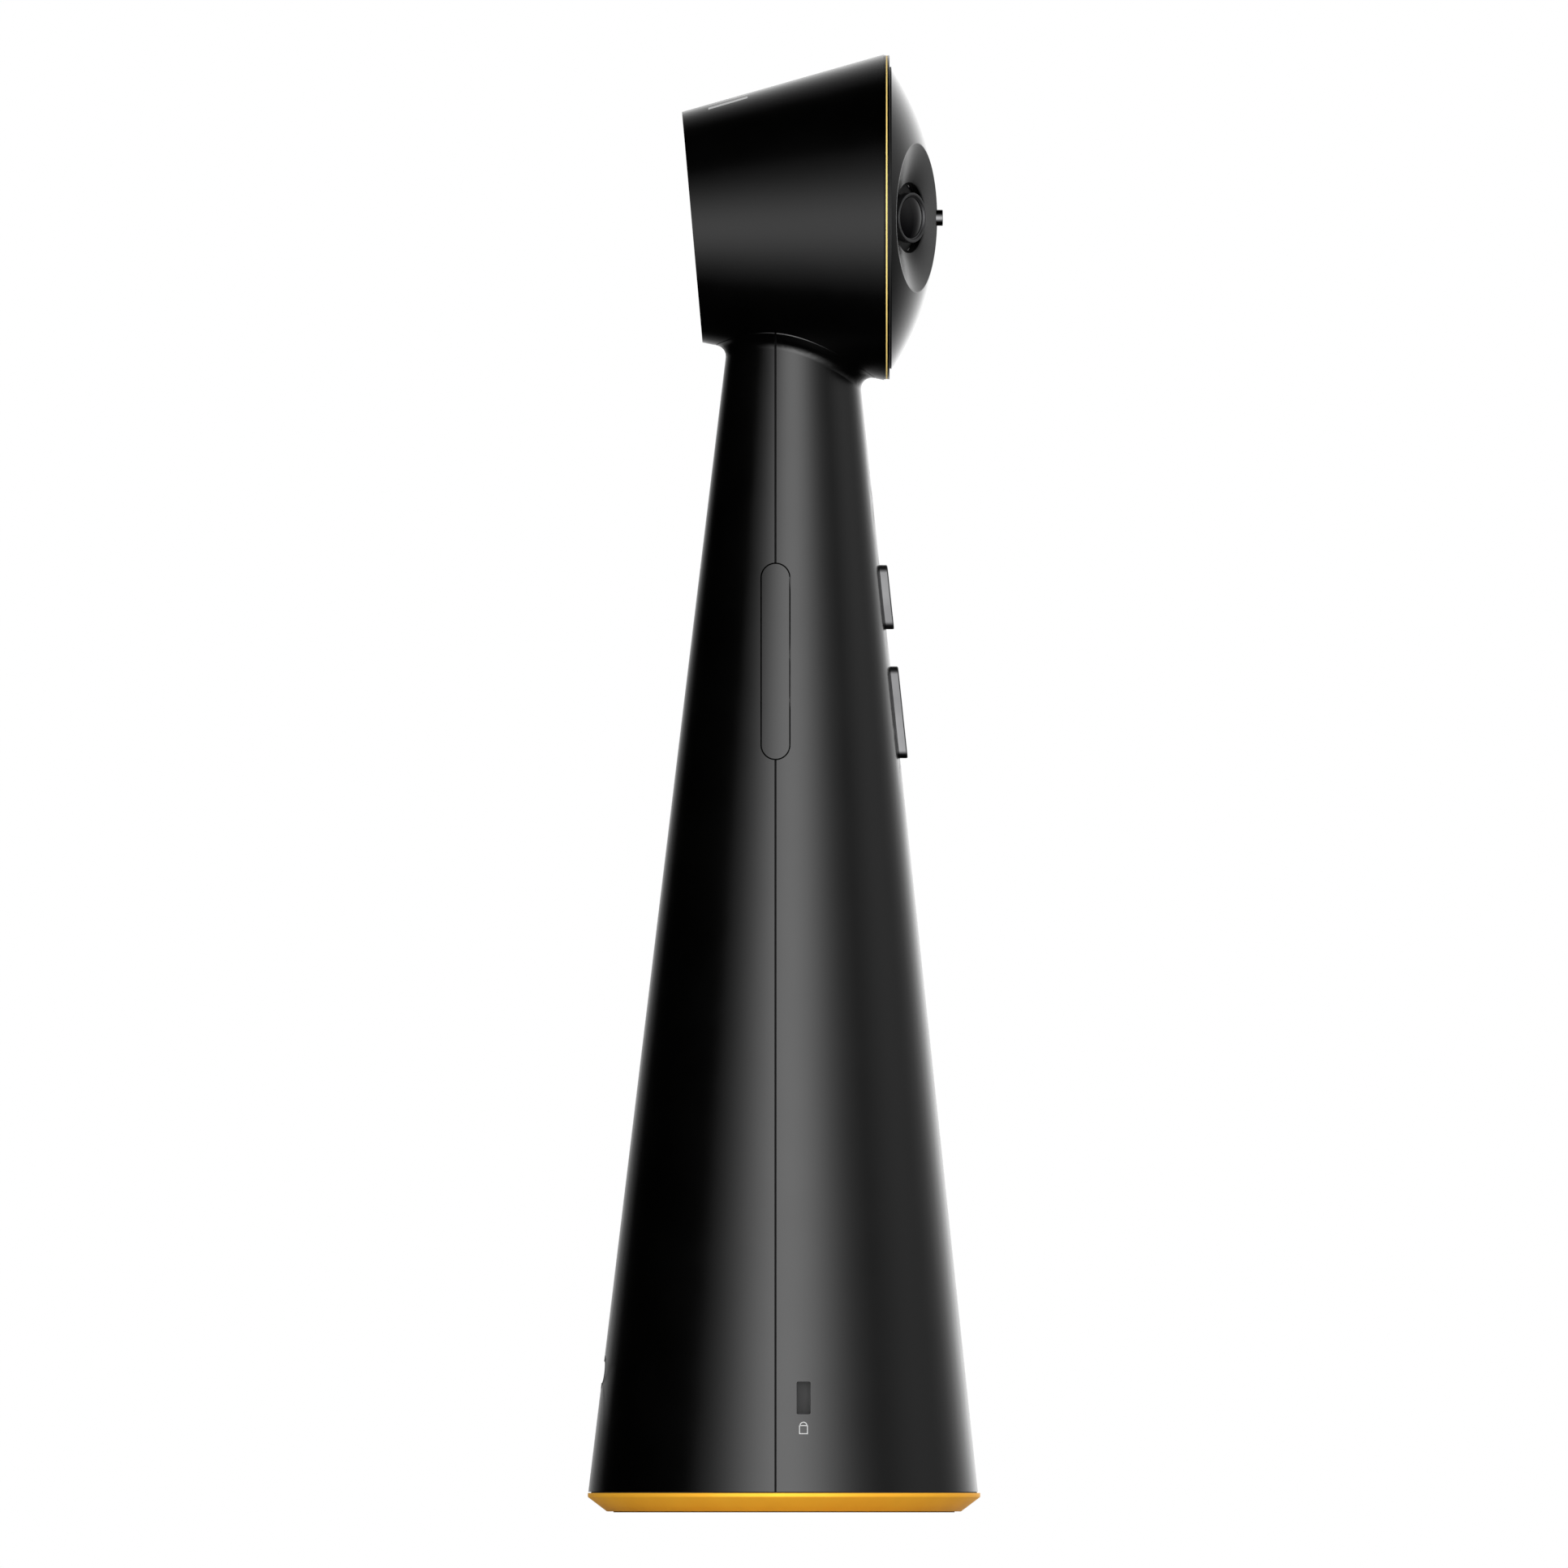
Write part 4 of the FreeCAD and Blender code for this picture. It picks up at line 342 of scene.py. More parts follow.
def clear_bench() -> None:
    """Leaves edit mode and deselects everything."""
    active = bpy.context.view_layer.objects.active
    if active is not None and active.mode != "OBJECT":
        bpy.ops.object.mode_set(mode="OBJECT")
    bpy.ops.object.select_all(action="DESELECT")


def take(piece: Piece) -> None:
    """Makes a piece the only one selected, in object mode.

    Args:
        piece: the piece to work on.
    """
    clear_bench()
    piece.select_set(True)
    bpy.context.view_layer.objects.active = piece


def open_up(piece: Piece, whole: bool = False) -> None:
    """Takes a piece into edit mode, set to pick edges.

    Args:
        piece: the piece to work on.
        whole: whether all of it is selected there, or nothing.
    """
    take(piece)
    bpy.ops.object.mode_set(mode="EDIT")
    bpy.ops.mesh.select_mode(type="EDGE")
    bpy.ops.mesh.select_all(action="SELECT" if whole else "DESELECT")


def pick(piece: Piece, wanted: Callable[[bmesh.types.BMEdge], bool]) -> None:
    """Selects the edges of the piece in edit mode that pass a test.

    Args:
        piece: the piece in edit mode.
        wanted: tells whether an edge is picked.
    """
    mesh = bmesh.from_edit_mesh(piece.data)
    for edge in mesh.edges:
        edge.select_set(wanted(edge))
    bmesh.update_edit_mesh(piece.data)


def settle(piece: Piece) -> None:
    """Closes a piece: merges its doubles and turns its faces outwards.

    Args:
        piece: the piece to close.
    """
    open_up(piece, whole=True)
    bpy.ops.mesh.remove_doubles(threshold=SAME_PLACE)
    bpy.ops.mesh.normals_make_consistent(inside=False)
    clear_bench()


def fix_place(piece: Piece) -> None:
    """Moves a piece's place, turn and size into its mesh.

    Args:
        piece: the piece to fix.
    """
    take(piece)
    bpy.ops.object.transform_apply(location=True, rotation=True, scale=True)


def reshape(piece: Piece, kind: str, **settings: object) -> None:
    """Adds a modifier to a piece and applies it.

    Args:
        piece: the piece that changes.
        kind: Blender's name of the modifier's type.
        settings: properties of the modifier.
    """
    take(piece)
    modifier = piece.modifiers.new(kind.lower(), kind)
    for name, value in settings.items():
        setattr(modifier, name, value)
    bpy.ops.object.modifier_apply(modifier=modifier.name)


def carve(piece: Piece, tool: Piece) -> None:
    """Cuts a tool out of a piece and uses the tool up.

    Args:
        piece: the piece that changes.
        tool: the closed mesh to cut with.
    """
    reshape(piece, "BOOLEAN", operation="DIFFERENCE", solver="EXACT", object=tool)
    bpy.data.objects.remove(tool)
    settle(piece)


def soften(piece: Piece, width: float, steps: int) -> None:
    """Rounds the picked edges of the piece in edit mode.

    Args:
        piece: the piece in edit mode; not used.
        width: how far the rounding reaches, in millimetres.
        steps: how many faces it has.
    """
    bpy.ops.mesh.bevel(offset=width * MM, offset_type="OFFSET", segments=steps, profile=0.5,
                       affect="EDGES", clamp_overlap=True)


def smooth(piece: Piece, angle: float = 22.0) -> None:
    """Shades a piece smooth, apart from edges sharper than an angle.

    Args:
        piece: the piece to shade.
        angle: the angle in degrees.
    """
    take(piece)
    bpy.ops.object.shade_smooth_by_angle(angle=math.radians(angle))


@dataclass
class Assembly:
    """A sub-assembly, which takes its finishes from the shop."""

    shop: FinishShop

    def hand_over(self, piece: Piece, slot: str, *nodes: str, body: str = CAMERA_BODY) -> None:
        """Dresses a finished piece, hangs it on its body and hides the CAD nodes that it replaces.

        Args:
            piece: the finished piece.
            slot: the record's material slot.
            nodes: the CAD nodes that it replaces.
            body: the body that it rides on.
        """
        self.shop.dress(piece, slot)
        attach(piece, body)
        if nodes:
            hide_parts(*nodes)
        clear_bench()
        log.info("made %s in %s", piece.name, slot)


class Lathe:
    """Turns a piece round Z from a circle of edges, ring by ring. Sizes are in millimetres."""

    def __init__(self, name: str, radius: float, height: float, filled: bool = False,
                 segments: int = 160) -> None:
        """Starts with one circle.

        Args:
            name: the piece's name.
            radius: the circle's radius.
            height: the circle's height on Z.
            filled: whether the circle is closed by a face.
            segments: how many sides the circle has.
        """
        clear_bench()
        bpy.ops.mesh.primitive_circle_add(vertices=segments, radius=radius * MM,
                                          fill_type="NGON" if filled else "NOTHING",
                                          location=(0.0, 0.0, height * MM))
        self.piece = bpy.context.active_object
        self.piece.name = name
        self._start = (radius, height)
        self._radius = radius
        self._height = height
        fix_place(self.piece)
        open_up(self.piece, whole=True)

    def to(self, *rings: Pair) -> "Lathe":
        """Draws the wall on through more rings.

        Args:
            rings: the radius and height of each.

        Returns:
            This lathe.
        """
        for radius, height in rings:
            rise = (0.0, 0.0, (height - self._height) * MM)
            bpy.ops.mesh.extrude_edges_move(TRANSFORM_OT_translate={"value": rise})
            grow = radius / self._radius
            bpy.ops.transform.resize(value=(grow, grow, 1.0), center_override=(0.0, 0.0, height * MM))
            self._radius = radius
            self._height = height
        return self

    def arc(self, centre: Pair, radius: float, start: float, end: float, steps: int) -> "Lathe":
        """Draws the wall on along an arc, from its start point to its end point.

        Args:
            centre: the radius and height of the arc's centre.
            radius: the arc's own radius.
            start: the angle of its first ring, in degrees from outwards towards +Z.
            end: the angle of its last ring.
            steps: how many faces it has.

        Returns:
            This lathe.
        """
        angles = [math.radians(start + (end - start) * i / steps) for i in range(steps + 1)]
        return self.to(*((centre[0] + radius * math.cos(a), centre[1] + radius * math.sin(a))
                         for a in angles))

    def cap(self) -> "Lathe":
        """Fills the last ring with a face and gives this lathe back."""
        bpy.ops.mesh.edge_face_add()
        return self

    def close(self) -> "Lathe":
        """Brings the wall back to the first ring and gives this lathe back."""
        return self.to(self._start)

    def soften(self, width: float, steps: int, *rings: Pair) -> "Lathe":
        """Rounds the corners of the profile at some rings.

        Args:
            width: how far the rounding reaches.
            steps: how many faces it has.
            rings: the radius and height of each corner.

        Returns:
            This lathe.
        """
        bpy.ops.mesh.select_all(action="SELECT")
        bpy.ops.mesh.remove_doubles(threshold=SAME_PLACE)

        def along_ring(edge: bmesh.types.BMEdge) -> bool:
            """Tells whether both ends of an edge lie on the same ring."""
            ends = [(vertex.co.xy.length, vertex.co.z) for vertex in edge.verts]
            return any(all(abs(r - radius * MM) < SAME_RING and abs(z - height * MM) < SAME_RING
                           for r, z in ends) for radius, height in rings)

        pick(self.piece, along_ring)
        soften(self.piece, width, steps)
        return self

    def aim(self, centre: Triple, turn: float) -> Piece:
        """Ends the turning and lays the piece's axis along a level direction.

        Args:
            centre: where the origin of the profile goes.
            turn: the axis's angle from +X towards -Y, in degrees.

        Returns:
            The piece.
        """
        settle(self.piece)
        self.piece.rotation_euler = (0.0, math.pi / 2, -math.radians(turn))
        self.piece.location = Vector(centre) * MM
        fix_place(self.piece)
        return self.piece

    def upright(self, angle: float) -> Piece:
        """Ends the turning with the axis left on Z and shades the piece.

        Args:
            angle: edges sharper than this many degrees stay sharp.

        Returns:
            The piece.
        """
        settle(self.piece)
        smooth(self.piece, angle)
        return self.piece

    def level(self, height: float) -> Piece:
        """Ends the turning with the axis along +X and shades the piece.

        Args:
            height: the axis's height.

        Returns:
            The piece.
        """
        piece = self.aim((0.0, 0.0, height), 0.0)
        smooth(piece, SOFT_EDGE_ANGLE)
        return piece


class Side(Enum):
    """The two sides of the head, by the sign that a right-hand y gets there."""

    RIGHT = 1
    LEFT = -1

    def aim(self, lathe: Lathe, centre: Pair, turn: float) -> Piece:
        """Ends a lathe's turning on this side, at the dome's height.

        Args:
            lathe: the lathe with the piece on it.
            centre: x and right-hand y of where the origin of the profile goes.
            turn: the axis's angle outwards from +X, in degrees.

        Returns:
            The piece.
        """
        return lathe.aim((centre[0], self.value * centre[1], DOME_AXIS_Z), self.value * turn)


def shifted(centre: Pair, turn: float, distance: float) -> Pair:
    """Moves a right-hand place along an axis that is turned outwards.

    Args:
        centre: x and y of the place.
        turn: the axis's angle outwards from +X, in degrees.
        distance: how far the place moves.

    Returns:
        The new x and y.
    """
    angle = math.radians(turn)
    return (centre[0] + distance * math.cos(angle), centre[1] - distance * math.sin(angle))


def bridge(lower: Piece, upper: Piece, cuts: int) -> Piece:
    """Joins two turned pieces by a wall between their open rims.

    Args:
        lower: the piece that stays.
        upper: the piece that is taken in.
        cuts: how many rings the wall has between the rims.

    Returns:
        The joined piece.
    """
    take(lower)
    upper.select_set(True)
    bpy.ops.object.join()
    open_up(lower)
    bpy.ops.mesh.select_non_manifold(extend=False, use_wire=True, use_boundary=True,
                                     use_multi_face=False, use_non_contiguous=False, use_verts=False)
    bpy.ops.mesh.bridge_edge_loops(type="SINGLE", number_cuts=cuts, interpolation="LINEAR")
    settle(lower)
    return lower


def copy_node(node: str, name: str) -> Piece:
    """Copies a CAD node's mesh into a new piece, merges its doubles and clears its own shading.

    Args:
        node: the CAD node.
        name: the new piece's name.

    Returns:
        The new piece.
    """
    piece = bpy.data.objects.new(name, frame["nodes"][node].data.copy())
    bpy.context.scene.collection.objects.link(piece)
    open_up(piece, whole=True)
    bpy.ops.mesh.remove_doubles(threshold=SAME_PLACE)
    bpy.ops.mesh.customdata_custom_splitnormals_clear()
    clear_bench()
    return piece


# Skins: the true faces that turned parts lie on

@dataclass(frozen=True)
class Ball:
    """A round skin, in metres."""

    centre: Vector
    radius: float

    def gap(self, point: Vector) -> float:
        """Gives how far a point is from the skin."""
        return abs((point - self.centre).length - self.radius)

    def normal(self, point: Vector) -> Vector:
        """Gives the skin's outward direction at a point."""
        return (point - self.centre).normalized()


@dataclass(frozen=True)
class Cone:
    """A conical skin, in metres: its apex, the direction of its axis and its half angle."""

    apex: Vector
    axis: Vector
    half_angle: float

    @classmethod
    def through(cls, one: tuple[Pair, Pair], other: tuple[Pair, Pair]) -> "Cone":
        """Finds the cone that has two outline lines in the middle plane.

        Args:
            one: two points (x, z) of one line in millimetres, from the narrow end to the wide end.
            other: the same for the other line.

        Returns:
            The cone.
        """
        ends = [Vector((x, 0.0, z)) * MM for x, z in (*one, *other)]
        apex = intersect_line_line(*ends)[0]
        sides = [(ends[1] - ends[0]).normalized(), (ends[3] - ends[2]).normalized()]
        axis = (sides[0] + sides[1]).normalized()
        return cls(apex, axis, sides[0].angle(axis))

    def gap(self, point: Vector) -> float:
        """Gives how far a point is from the skin."""
        arm = point - self.apex
        return abs(arm.length * math.sin(arm.angle(self.axis) - self.half_angle))

    def normal(self, point: Vector) -> Vector:
        """Gives the skin's outward direction at a point.

        Args:
            point: the point, on the skin or close to it.

        Returns:
            The direction.
        """
        arm = point - self.apex
        out = (arm - arm.project(self.axis)).normalized()
        return out * math.cos(self.half_angle) - self.axis * math.sin(self.half_angle)


STEM_SKIN = Cone.through(STEM_REAR_LINE, STEM_FRONT_LINE)
HEAD_SKIN = Cone.through(HEAD_TOP_LINE, HEAD_BOTTOM_LINE)


def polish(piece: Piece, skin: Ball | Cone, reach: float = 0.03, lean: float = 25.0) -> None:
    """Gives the faces that lie on a skin the skin's own directions, so that they mirror evenly.

    Args:
        piece: the piece to polish, shaded smooth.
        skin: the true face.
        reach: how far a corner may be from the skin, in millimetres.
        lean: how far a face may lean from it, in degrees.
    """
    mesh = piece.data
    least = math.cos(math.radians(lean))
    directions: list[Vector] = []
    for polygon in mesh.polygons:
        for corner in polygon.vertices:
            point = mesh.vertices[corner].co
            true = skin.normal(point)
            lies = skin.gap(point) < reach * MM and true.dot(polygon.normal) > least
            directions.append(true if lies else Vector((0.0, 0.0, 0.0)))
    mesh.normals_split_custom_set(directions)


# Studio

@dataclass(frozen=True)
class Panel:
    """A softbox, by the direction it comes from and how wide its glow looks, in degrees."""

    name: str
    azimuth: float
    elevation: float
    glow: float
    radiance: float
    lights_matt: bool = False


@dataclass
class Studio:
    """Camera, light panels, white surroundings and a pale floor, in metres."""

    view_width: float = 0.3356
    view_middle: float = 0.1559
    camera_distance: float = 1.2
    panel_distance: float = 2.0
    target: Triple = (0.0, 0.0, 0.15)
    floor_radius: float = 4.0
    floor_tones: Pair = (0.82, 0.86)
    glow_reach: float = 2.6
    panels: tuple[Panel, ...] = (
        Panel("key_panel", 2.0, 0.0, 22.0, 4.5, lights_matt=True),
        Panel("fill_panel", 88.0, 26.0, 21.0, 0.74),
        Panel("back_panel", 165.0, 12.0, 21.0, 2.1),
    )

    def set_camera(self) -> None:
        """Puts the camera at the photograph's angle, square to the object's right side."""
        data = bpy.data.cameras.new("photo_camera")
        data.type = "ORTHO"
        data.ortho_scale = self.view_width
        camera = bpy.data.objects.new("photo_camera", data)
        camera.location = (0.0, -self.camera_distance, self.view_middle)
        camera.rotation_euler = (math.pi / 2, 0.0, 0.0)
        bpy.context.scene.collection.objects.link(camera)
        bpy.context.scene.camera = camera

    def light(self) -> None:
        """Hangs the panels and whitens the surroundings."""
        world = bpy.data.worlds.new("white_surroundings")
        tree = NodeTree(world)
        sky = tree.node("Background", {"Color": opaque(1.0), "Strength": 1.0})
        tree.node("OutputWorld", {"Surface": sky})
        bpy.context.scene.world = world
        world.cycles_visibility.glossy = False
        bpy.context.scene.view_settings.view_transform = "Standard"
        for panel in self.panels:
            self._hang(panel)

    def _hang(self, panel: Panel) -> None:
        """Makes one panel as an area light that faces the object and fades out from its middle.

        Args:
            panel: where it is, how large it looks and how bright it is.
        """
        azimuth, elevation = math.radians(panel.azimuth), math.radians(panel.elevation)
        toward = Vector((math.sin(azimuth) * math.cos(elevation),
                         -math.cos(azimuth) * math.cos(elevation), math.sin(elevation)))
        spread = math.tan(math.radians(self.glow_reach * panel.glow))
        data = bpy.data.lights.new(panel.name, "AREA")
        data.shape = "SQUARE"
        data.size = 2 * self.panel_distance * spread
        data.energy = panel.radiance * math.pi * data.size ** 2
        tree = NodeTree(data)
        across = tree.node("NewGeometry", output="Parametric")
        middle = tree.node("VectorMath", {0: across, 1: (0.5, 0.5, 0.0)}, operation="SUBTRACT")
        flat = tree.node("VectorMath", {0: middle, 1: (2 * spread, 2 * spread, 0.0)},
                         operation="MULTIPLY")
        glow = tree.node("VectorMath", {0: flat}, "Value", operation="LENGTH")
        for operation, number in (("ARCTANGENT", 0.0), ("DIVIDE", math.radians(panel.glow)),
                                  ("POWER", 2.0), ("MULTIPLY", -0.5), ("EXPONENT", 0.0)):
            glow = tree.node("Math", {0: glow, 1: number}, operation=operation)
        tree.node("OutputLight", {"Surface": tree.node("Emission", {"Strength": glow})})
        lamp = bpy.data.objects.new(panel.name, data)
        lamp.location = Vector(self.target) + toward * self.panel_distance
        lamp.rotation_euler = toward.to_track_quat("Z", "Y").to_euler()
        lamp.visible_camera = False
        lamp.visible_diffuse = panel.lights_matt
        bpy.context.scene.collection.objects.link(lamp)

    def lay_floor(self) -> None:
        """Lays a pale round floor that shows no mirror image and hides no panel."""
        bpy.ops.object.select_all(action="DESELECT")
        bpy.ops.mesh.primitive_circle_add(vertices=96, radius=self.floor_radius, fill_type="NGON")
        floor = bpy.context.active_object
        floor.name = "pale_floor"
        material = bpy.data.materials.new("floor_paint")
        tree = NodeTree(material)
        place = tree.node("TexCoord", output="Object")
        cloud = tree.node("TexNoise", {"Vector": place, "Scale": 3.0, "Detail": 2.0})
        darker, paler = self.floor_tones
        tone = tree.node("MixRGB", {"Fac": cloud, "Color1": opaque(darker), "Color2": opaque(paler)})
        paint = tree.node("BsdfPrincipled", {"Base Color": tone, "Roughness": 0.9,
                                             "Specular IOR Level": 0.1})
        tree.node("OutputMaterial", {"Surface": paint})
        floor.data.materials.append(material)
        floor.visible_glossy = False
        floor.visible_shadow = False


# Stem

@dataclass
class Stem(Assembly):
    """The two shells, their windows, the gold ring at the foot and the padlock sign by the slot."""

    ring_r: float = 42.0
    ring_bottom_r: float = 37.9
    ring_bore_r: float = 36.9
    ring_low_z: float = 0.2
    ring_band_z: float = 3.3
    ring_edge: float = 0.12
    ring_shade_angle: float = 30.0
    sign_x: Pair = (3.23, 5.11)
    sign_z: Pair = (16.75, 18.66)
    arch_r: float = 0.74
    sign_line: float = 0.19
    sign_proud: float = 0.02
    sign_start: float = 4.0
    seam_x: float = -1.82
    seam_reach: float = 0.24
    window_reach: float = 3.4
    window_z: Pair = (160.5, 203.8)
    groove_depth: float = 3.6
    gasket_r: Pair = (38.0, 41.3)
    shell_low_z: float = 4.4

    def build(self) -> None:
        """Makes every piece of the stem."""
        shell = self._skin_piece("front_shell", "front_casing")
        for node, name in (("rear_shell", "rear_casing"), ("status_window_right", "light_window_right"),
                           ("status_window_left", "light_window_left")):
            self._skin_piece(node, name)
        self.hand_over(self._ring(), "gold_ring_metal", "base_ring")
        self.hand_over(self._gasket(), "foot_rubber")
        self.hand_over(self._padlock(shell), "bar_grey")

    def _skin_piece(self, node: str, name: str) -> Piece:
        """Polishes a copy of a node whose outside lies on the stem's cone.

        Args:
            node: the CAD node.
            name: the piece's name.

        Returns:
            The piece.
        """
        piece = copy_node(node, name)
        smooth(piece)
        polish(piece, STEM_SKIN)
        self.hand_over(piece, "window_black" if "window" in name else "stem_black", node)
        self._paint_groove_shade(piece)
        return piece

    def _paint_groove_shade(self, piece: Piece) -> None:
        """Gives the floor and walls of the seam and of the window's joint a dull black, as painted
        shade.

        Args:
            piece: the casing or window.
        """
        # Painted shade: the sunk faces of the seam and window joint get the dull black in place of the
        # casing's sheen.
        piece.data.materials.append(self.shop.material("groove_painted_shade"))
        low, high = self.window_z
        mesh = piece.data
        for polygon in mesh.polygons:
            centre = polygon.center / MM
            reach = self.window_reach if low < centre.z < high else self.seam_reach
            sunk = any(STEM_SKIN.gap(mesh.vertices[i].co) > OFF_SKIN * MM for i in polygon.vertices)
            shallow = STEM_SKIN.gap(polygon.center) < self.groove_depth * MM
            if abs(centre.x - self.seam_x) < reach and sunk and shallow:
                polygon.material_index = 1

    def _ring(self) -> Piece:
        """Turns the gold ring: a straight band over a chamfer, with softened edges.

        Returns:
            The ring.
        """
        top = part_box("base_ring")[1][2] / MM
        lathe = Lathe("foot_ring", self.ring_bore_r, top)
        lathe.to((self.ring_bore_r, self.ring_low_z), (self.ring_bottom_r, self.ring_low_z),
                 (self.ring_r, self.ring_band_z), (self.ring_r, top)).close()
        lathe.soften(self.ring_edge, 3, (self.ring_bottom_r, self.ring_low_z),
                     (self.ring_r, self.ring_band_z), (self.ring_r, top))
        return lathe.upright(self.ring_shade_angle)

    def _gasket(self) -> Piece:
        """Turns the flat gasket between the gold ring and the shells.

        Returns:
            The gasket.
        """
        inner, outer = self.gasket_r
        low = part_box("base_ring")[1][2] / MM
        lathe = Lathe("foot_gasket", inner, low)
        lathe.to((outer, low), (outer, self.shell_low_z), (inner, self.shell_low_z)).close()
        lathe.soften(self.ring_edge / 2, 2, (outer, low), (outer, self.shell_low_z))
        return lathe.upright(SOFT_EDGE_ANGLE)

    def _padlock(self, shell: Piece) -> Piece:
        """Lays a plain padlock sign on the casing: a frame, and an arch over it.

        Args:
            shell: the casing that it lies on.

        Returns:
            The sign.
        """
        width = self.sign_x[1] - self.sign_x[0]
        height = self.sign_z[1] - self.sign_z[0]
        middle = (sum(self.sign_x) / 2, -self.ring_r - self.sign_start, sum(self.sign_z) / 2)
        clear_bench()
        bpy.ops.mesh.primitive_plane_add(size=1.0)
        sign = bpy.context.active_object
        sign.name = "padlock_sign"
        sign.scale = (width * MM, height * MM, 1.0)
        fix_place(sign)
        open_up(sign, whole=True)
        bpy.ops.mesh.inset(thickness=self.sign_line * MM, depth=0.0)
        bpy.ops.mesh.delete(type="FACE")
        arch = Lathe("arch", self.arch_r + self.sign_line / 2, 0.0, segments=40)
        arch.to((self.arch_r - self.sign_line / 2, 0.0))
        bpy.ops.mesh.select_all(action="SELECT")
        bpy.ops.mesh.bisect(plane_co=(0.0, 0.0, 0.0), plane_no=(0.0, 1.0, 0.0), clear_inner=True)
        clear_bench()
        arch.piece.location = (0.0, (height / 2 - self.sign_line / 2) * MM, 0.0)
        fix_place(arch.piece)
        take(sign)
        arch.piece.select_set(True)
        bpy.ops.object.join()
        open_up(sign, whole=True)
        bpy.ops.mesh.subdivide(number_cuts=3)
        clear_bench()
        sign.rotation_euler = (math.pi / 2, 0.0, 0.0)
        sign.location = Vector(middle) * MM
        fix_place(sign)
        reshape(sign, "SHRINKWRAP", target=shell, wrap_method="PROJECT", use_project_y=True,
                use_positive_direction=True, use_negative_direction=False, offset=self.sign_proud * MM)
        reshape(sign, "SOLIDIFY", thickness=self.sign_proud * MM, offset=-1.0)
        settle(sign)
        return sign


# Keys

@dataclass
class Keys(Assembly):
    """The push key and the rocker key on the stem's front, with softened faces."""

    proud: float = 1.65
    rounding: float = 0.32
    flat_angle: float = 0.5
    rim_angle: float = 45.0
    face_slack: float = 0.005
    shade_angle: float = 30.0

    def build(self) -> None:
        """Makes both keys."""
        for node, name, body in (("upper_button", "push_key", "upper_key"),
                                 ("lower_button", "rocker_key", "lower_key")):
            self.hand_over(self._key(node, name), "key_black", node, body=body)

    def _key(self, node: str, name: str) -> Piece:
        """Copies a key and rounds the rim of its front face.

        Args:
            node: the CAD node.
            name: the piece's name.

        Returns:
            The key.
        """
        high, low = (Vector((x, 0.0, z)) * MM for x, z in STEM_FRONT_LINE)
        along = (high - low).normalized()
        out = Vector((along.z, 0.0, -along.x))
        face = low + out * self.proud * MM
        key = copy_node(node, name)
        open_up(key, whole=True)
        bpy.ops.mesh.dissolve_limited(angle_limit=math.radians(self.flat_angle))

        def on_rim(edge: bmesh.types.BMEdge) -> bool:
            """Tells whether an edge bounds the front face."""
            on_face = all(abs((end.co - face).dot(out)) < self.face_slack * MM for end in edge.verts)
            return on_face and edge.calc_face_angle(0.0) > math.radians(self.rim_angle)

        pick(key, on_rim)
        soften(key, self.rounding, steps=4)
        clear_bench()
        smooth(key, self.shade_angle)
        return key


# Head

@dataclass
class Head(Assembly):
    """The conical housing, the turned trim round its front and the gold line in the trim."""

    bezel_x: Pair = (21.4, 22.6)
    bezel_r: float = 34.7
    bezel_bore_r: float = 29.4
    spigot_r: float = 30.6
    spigot_x: float = 17.4
    line_x: Pair = (21.8, 22.15)
    line_r: float = 34.62
    line_floor_r: float = 33.92
    edge: float = 0.1

    def build(self) -> None:
        """Makes the head's pieces."""
        housing = copy_node("head_shell", "head_casing")
        smooth(housing)
        polish(housing, HEAD_SKIN)
        self.hand_over(housing, "head_black", "head_shell")
        self.hand_over(self._bezel(), "bezel_metal", "front_bezel")
        self.hand_over(self._line(), "gold_line_metal", "gold_ring")

    def _bezel(self) -> Piece:
        """Turns the trim with its spigot and the groove for the gold line.

        Returns:
            The trim.
        """
        back, front = self.bezel_x
        corners = ((self.bezel_r, back), (self.bezel_r, front), (self.bezel_bore_r, front))
        lathe = Lathe("front_trim", self.bezel_bore_r, self.spigot_x)
        low, high = self.line_x
        lathe.to((self.spigot_r, self.spigot_x), (self.spigot_r, back), corners[0], (self.bezel_r, low),
                 (self.line_floor_r, low), (self.line_floor_r, high), (self.bezel_r, high),
                 *corners[1:]).close()
        lathe.soften(self.edge, 3, *corners)
        return lathe.level(HEAD_AXIS_Z)

    def _line(self) -> Piece:
        """Turns the gold line that lies in the trim's groove.

        Returns:
            The line.
        """
        back, front = self.line_x
        inner_r = self.line_floor_r + CLEARANCE
        outer = ((self.line_r, back), (self.line_r, front))
        lathe = Lathe("gold_line", inner_r, back)
        lathe.to(*outer, (inner_r, front)).close()
        lathe.soften(self.edge / 2, 2, *outer)
        return lathe.level(HEAD_AXIS_Z)


# Dome

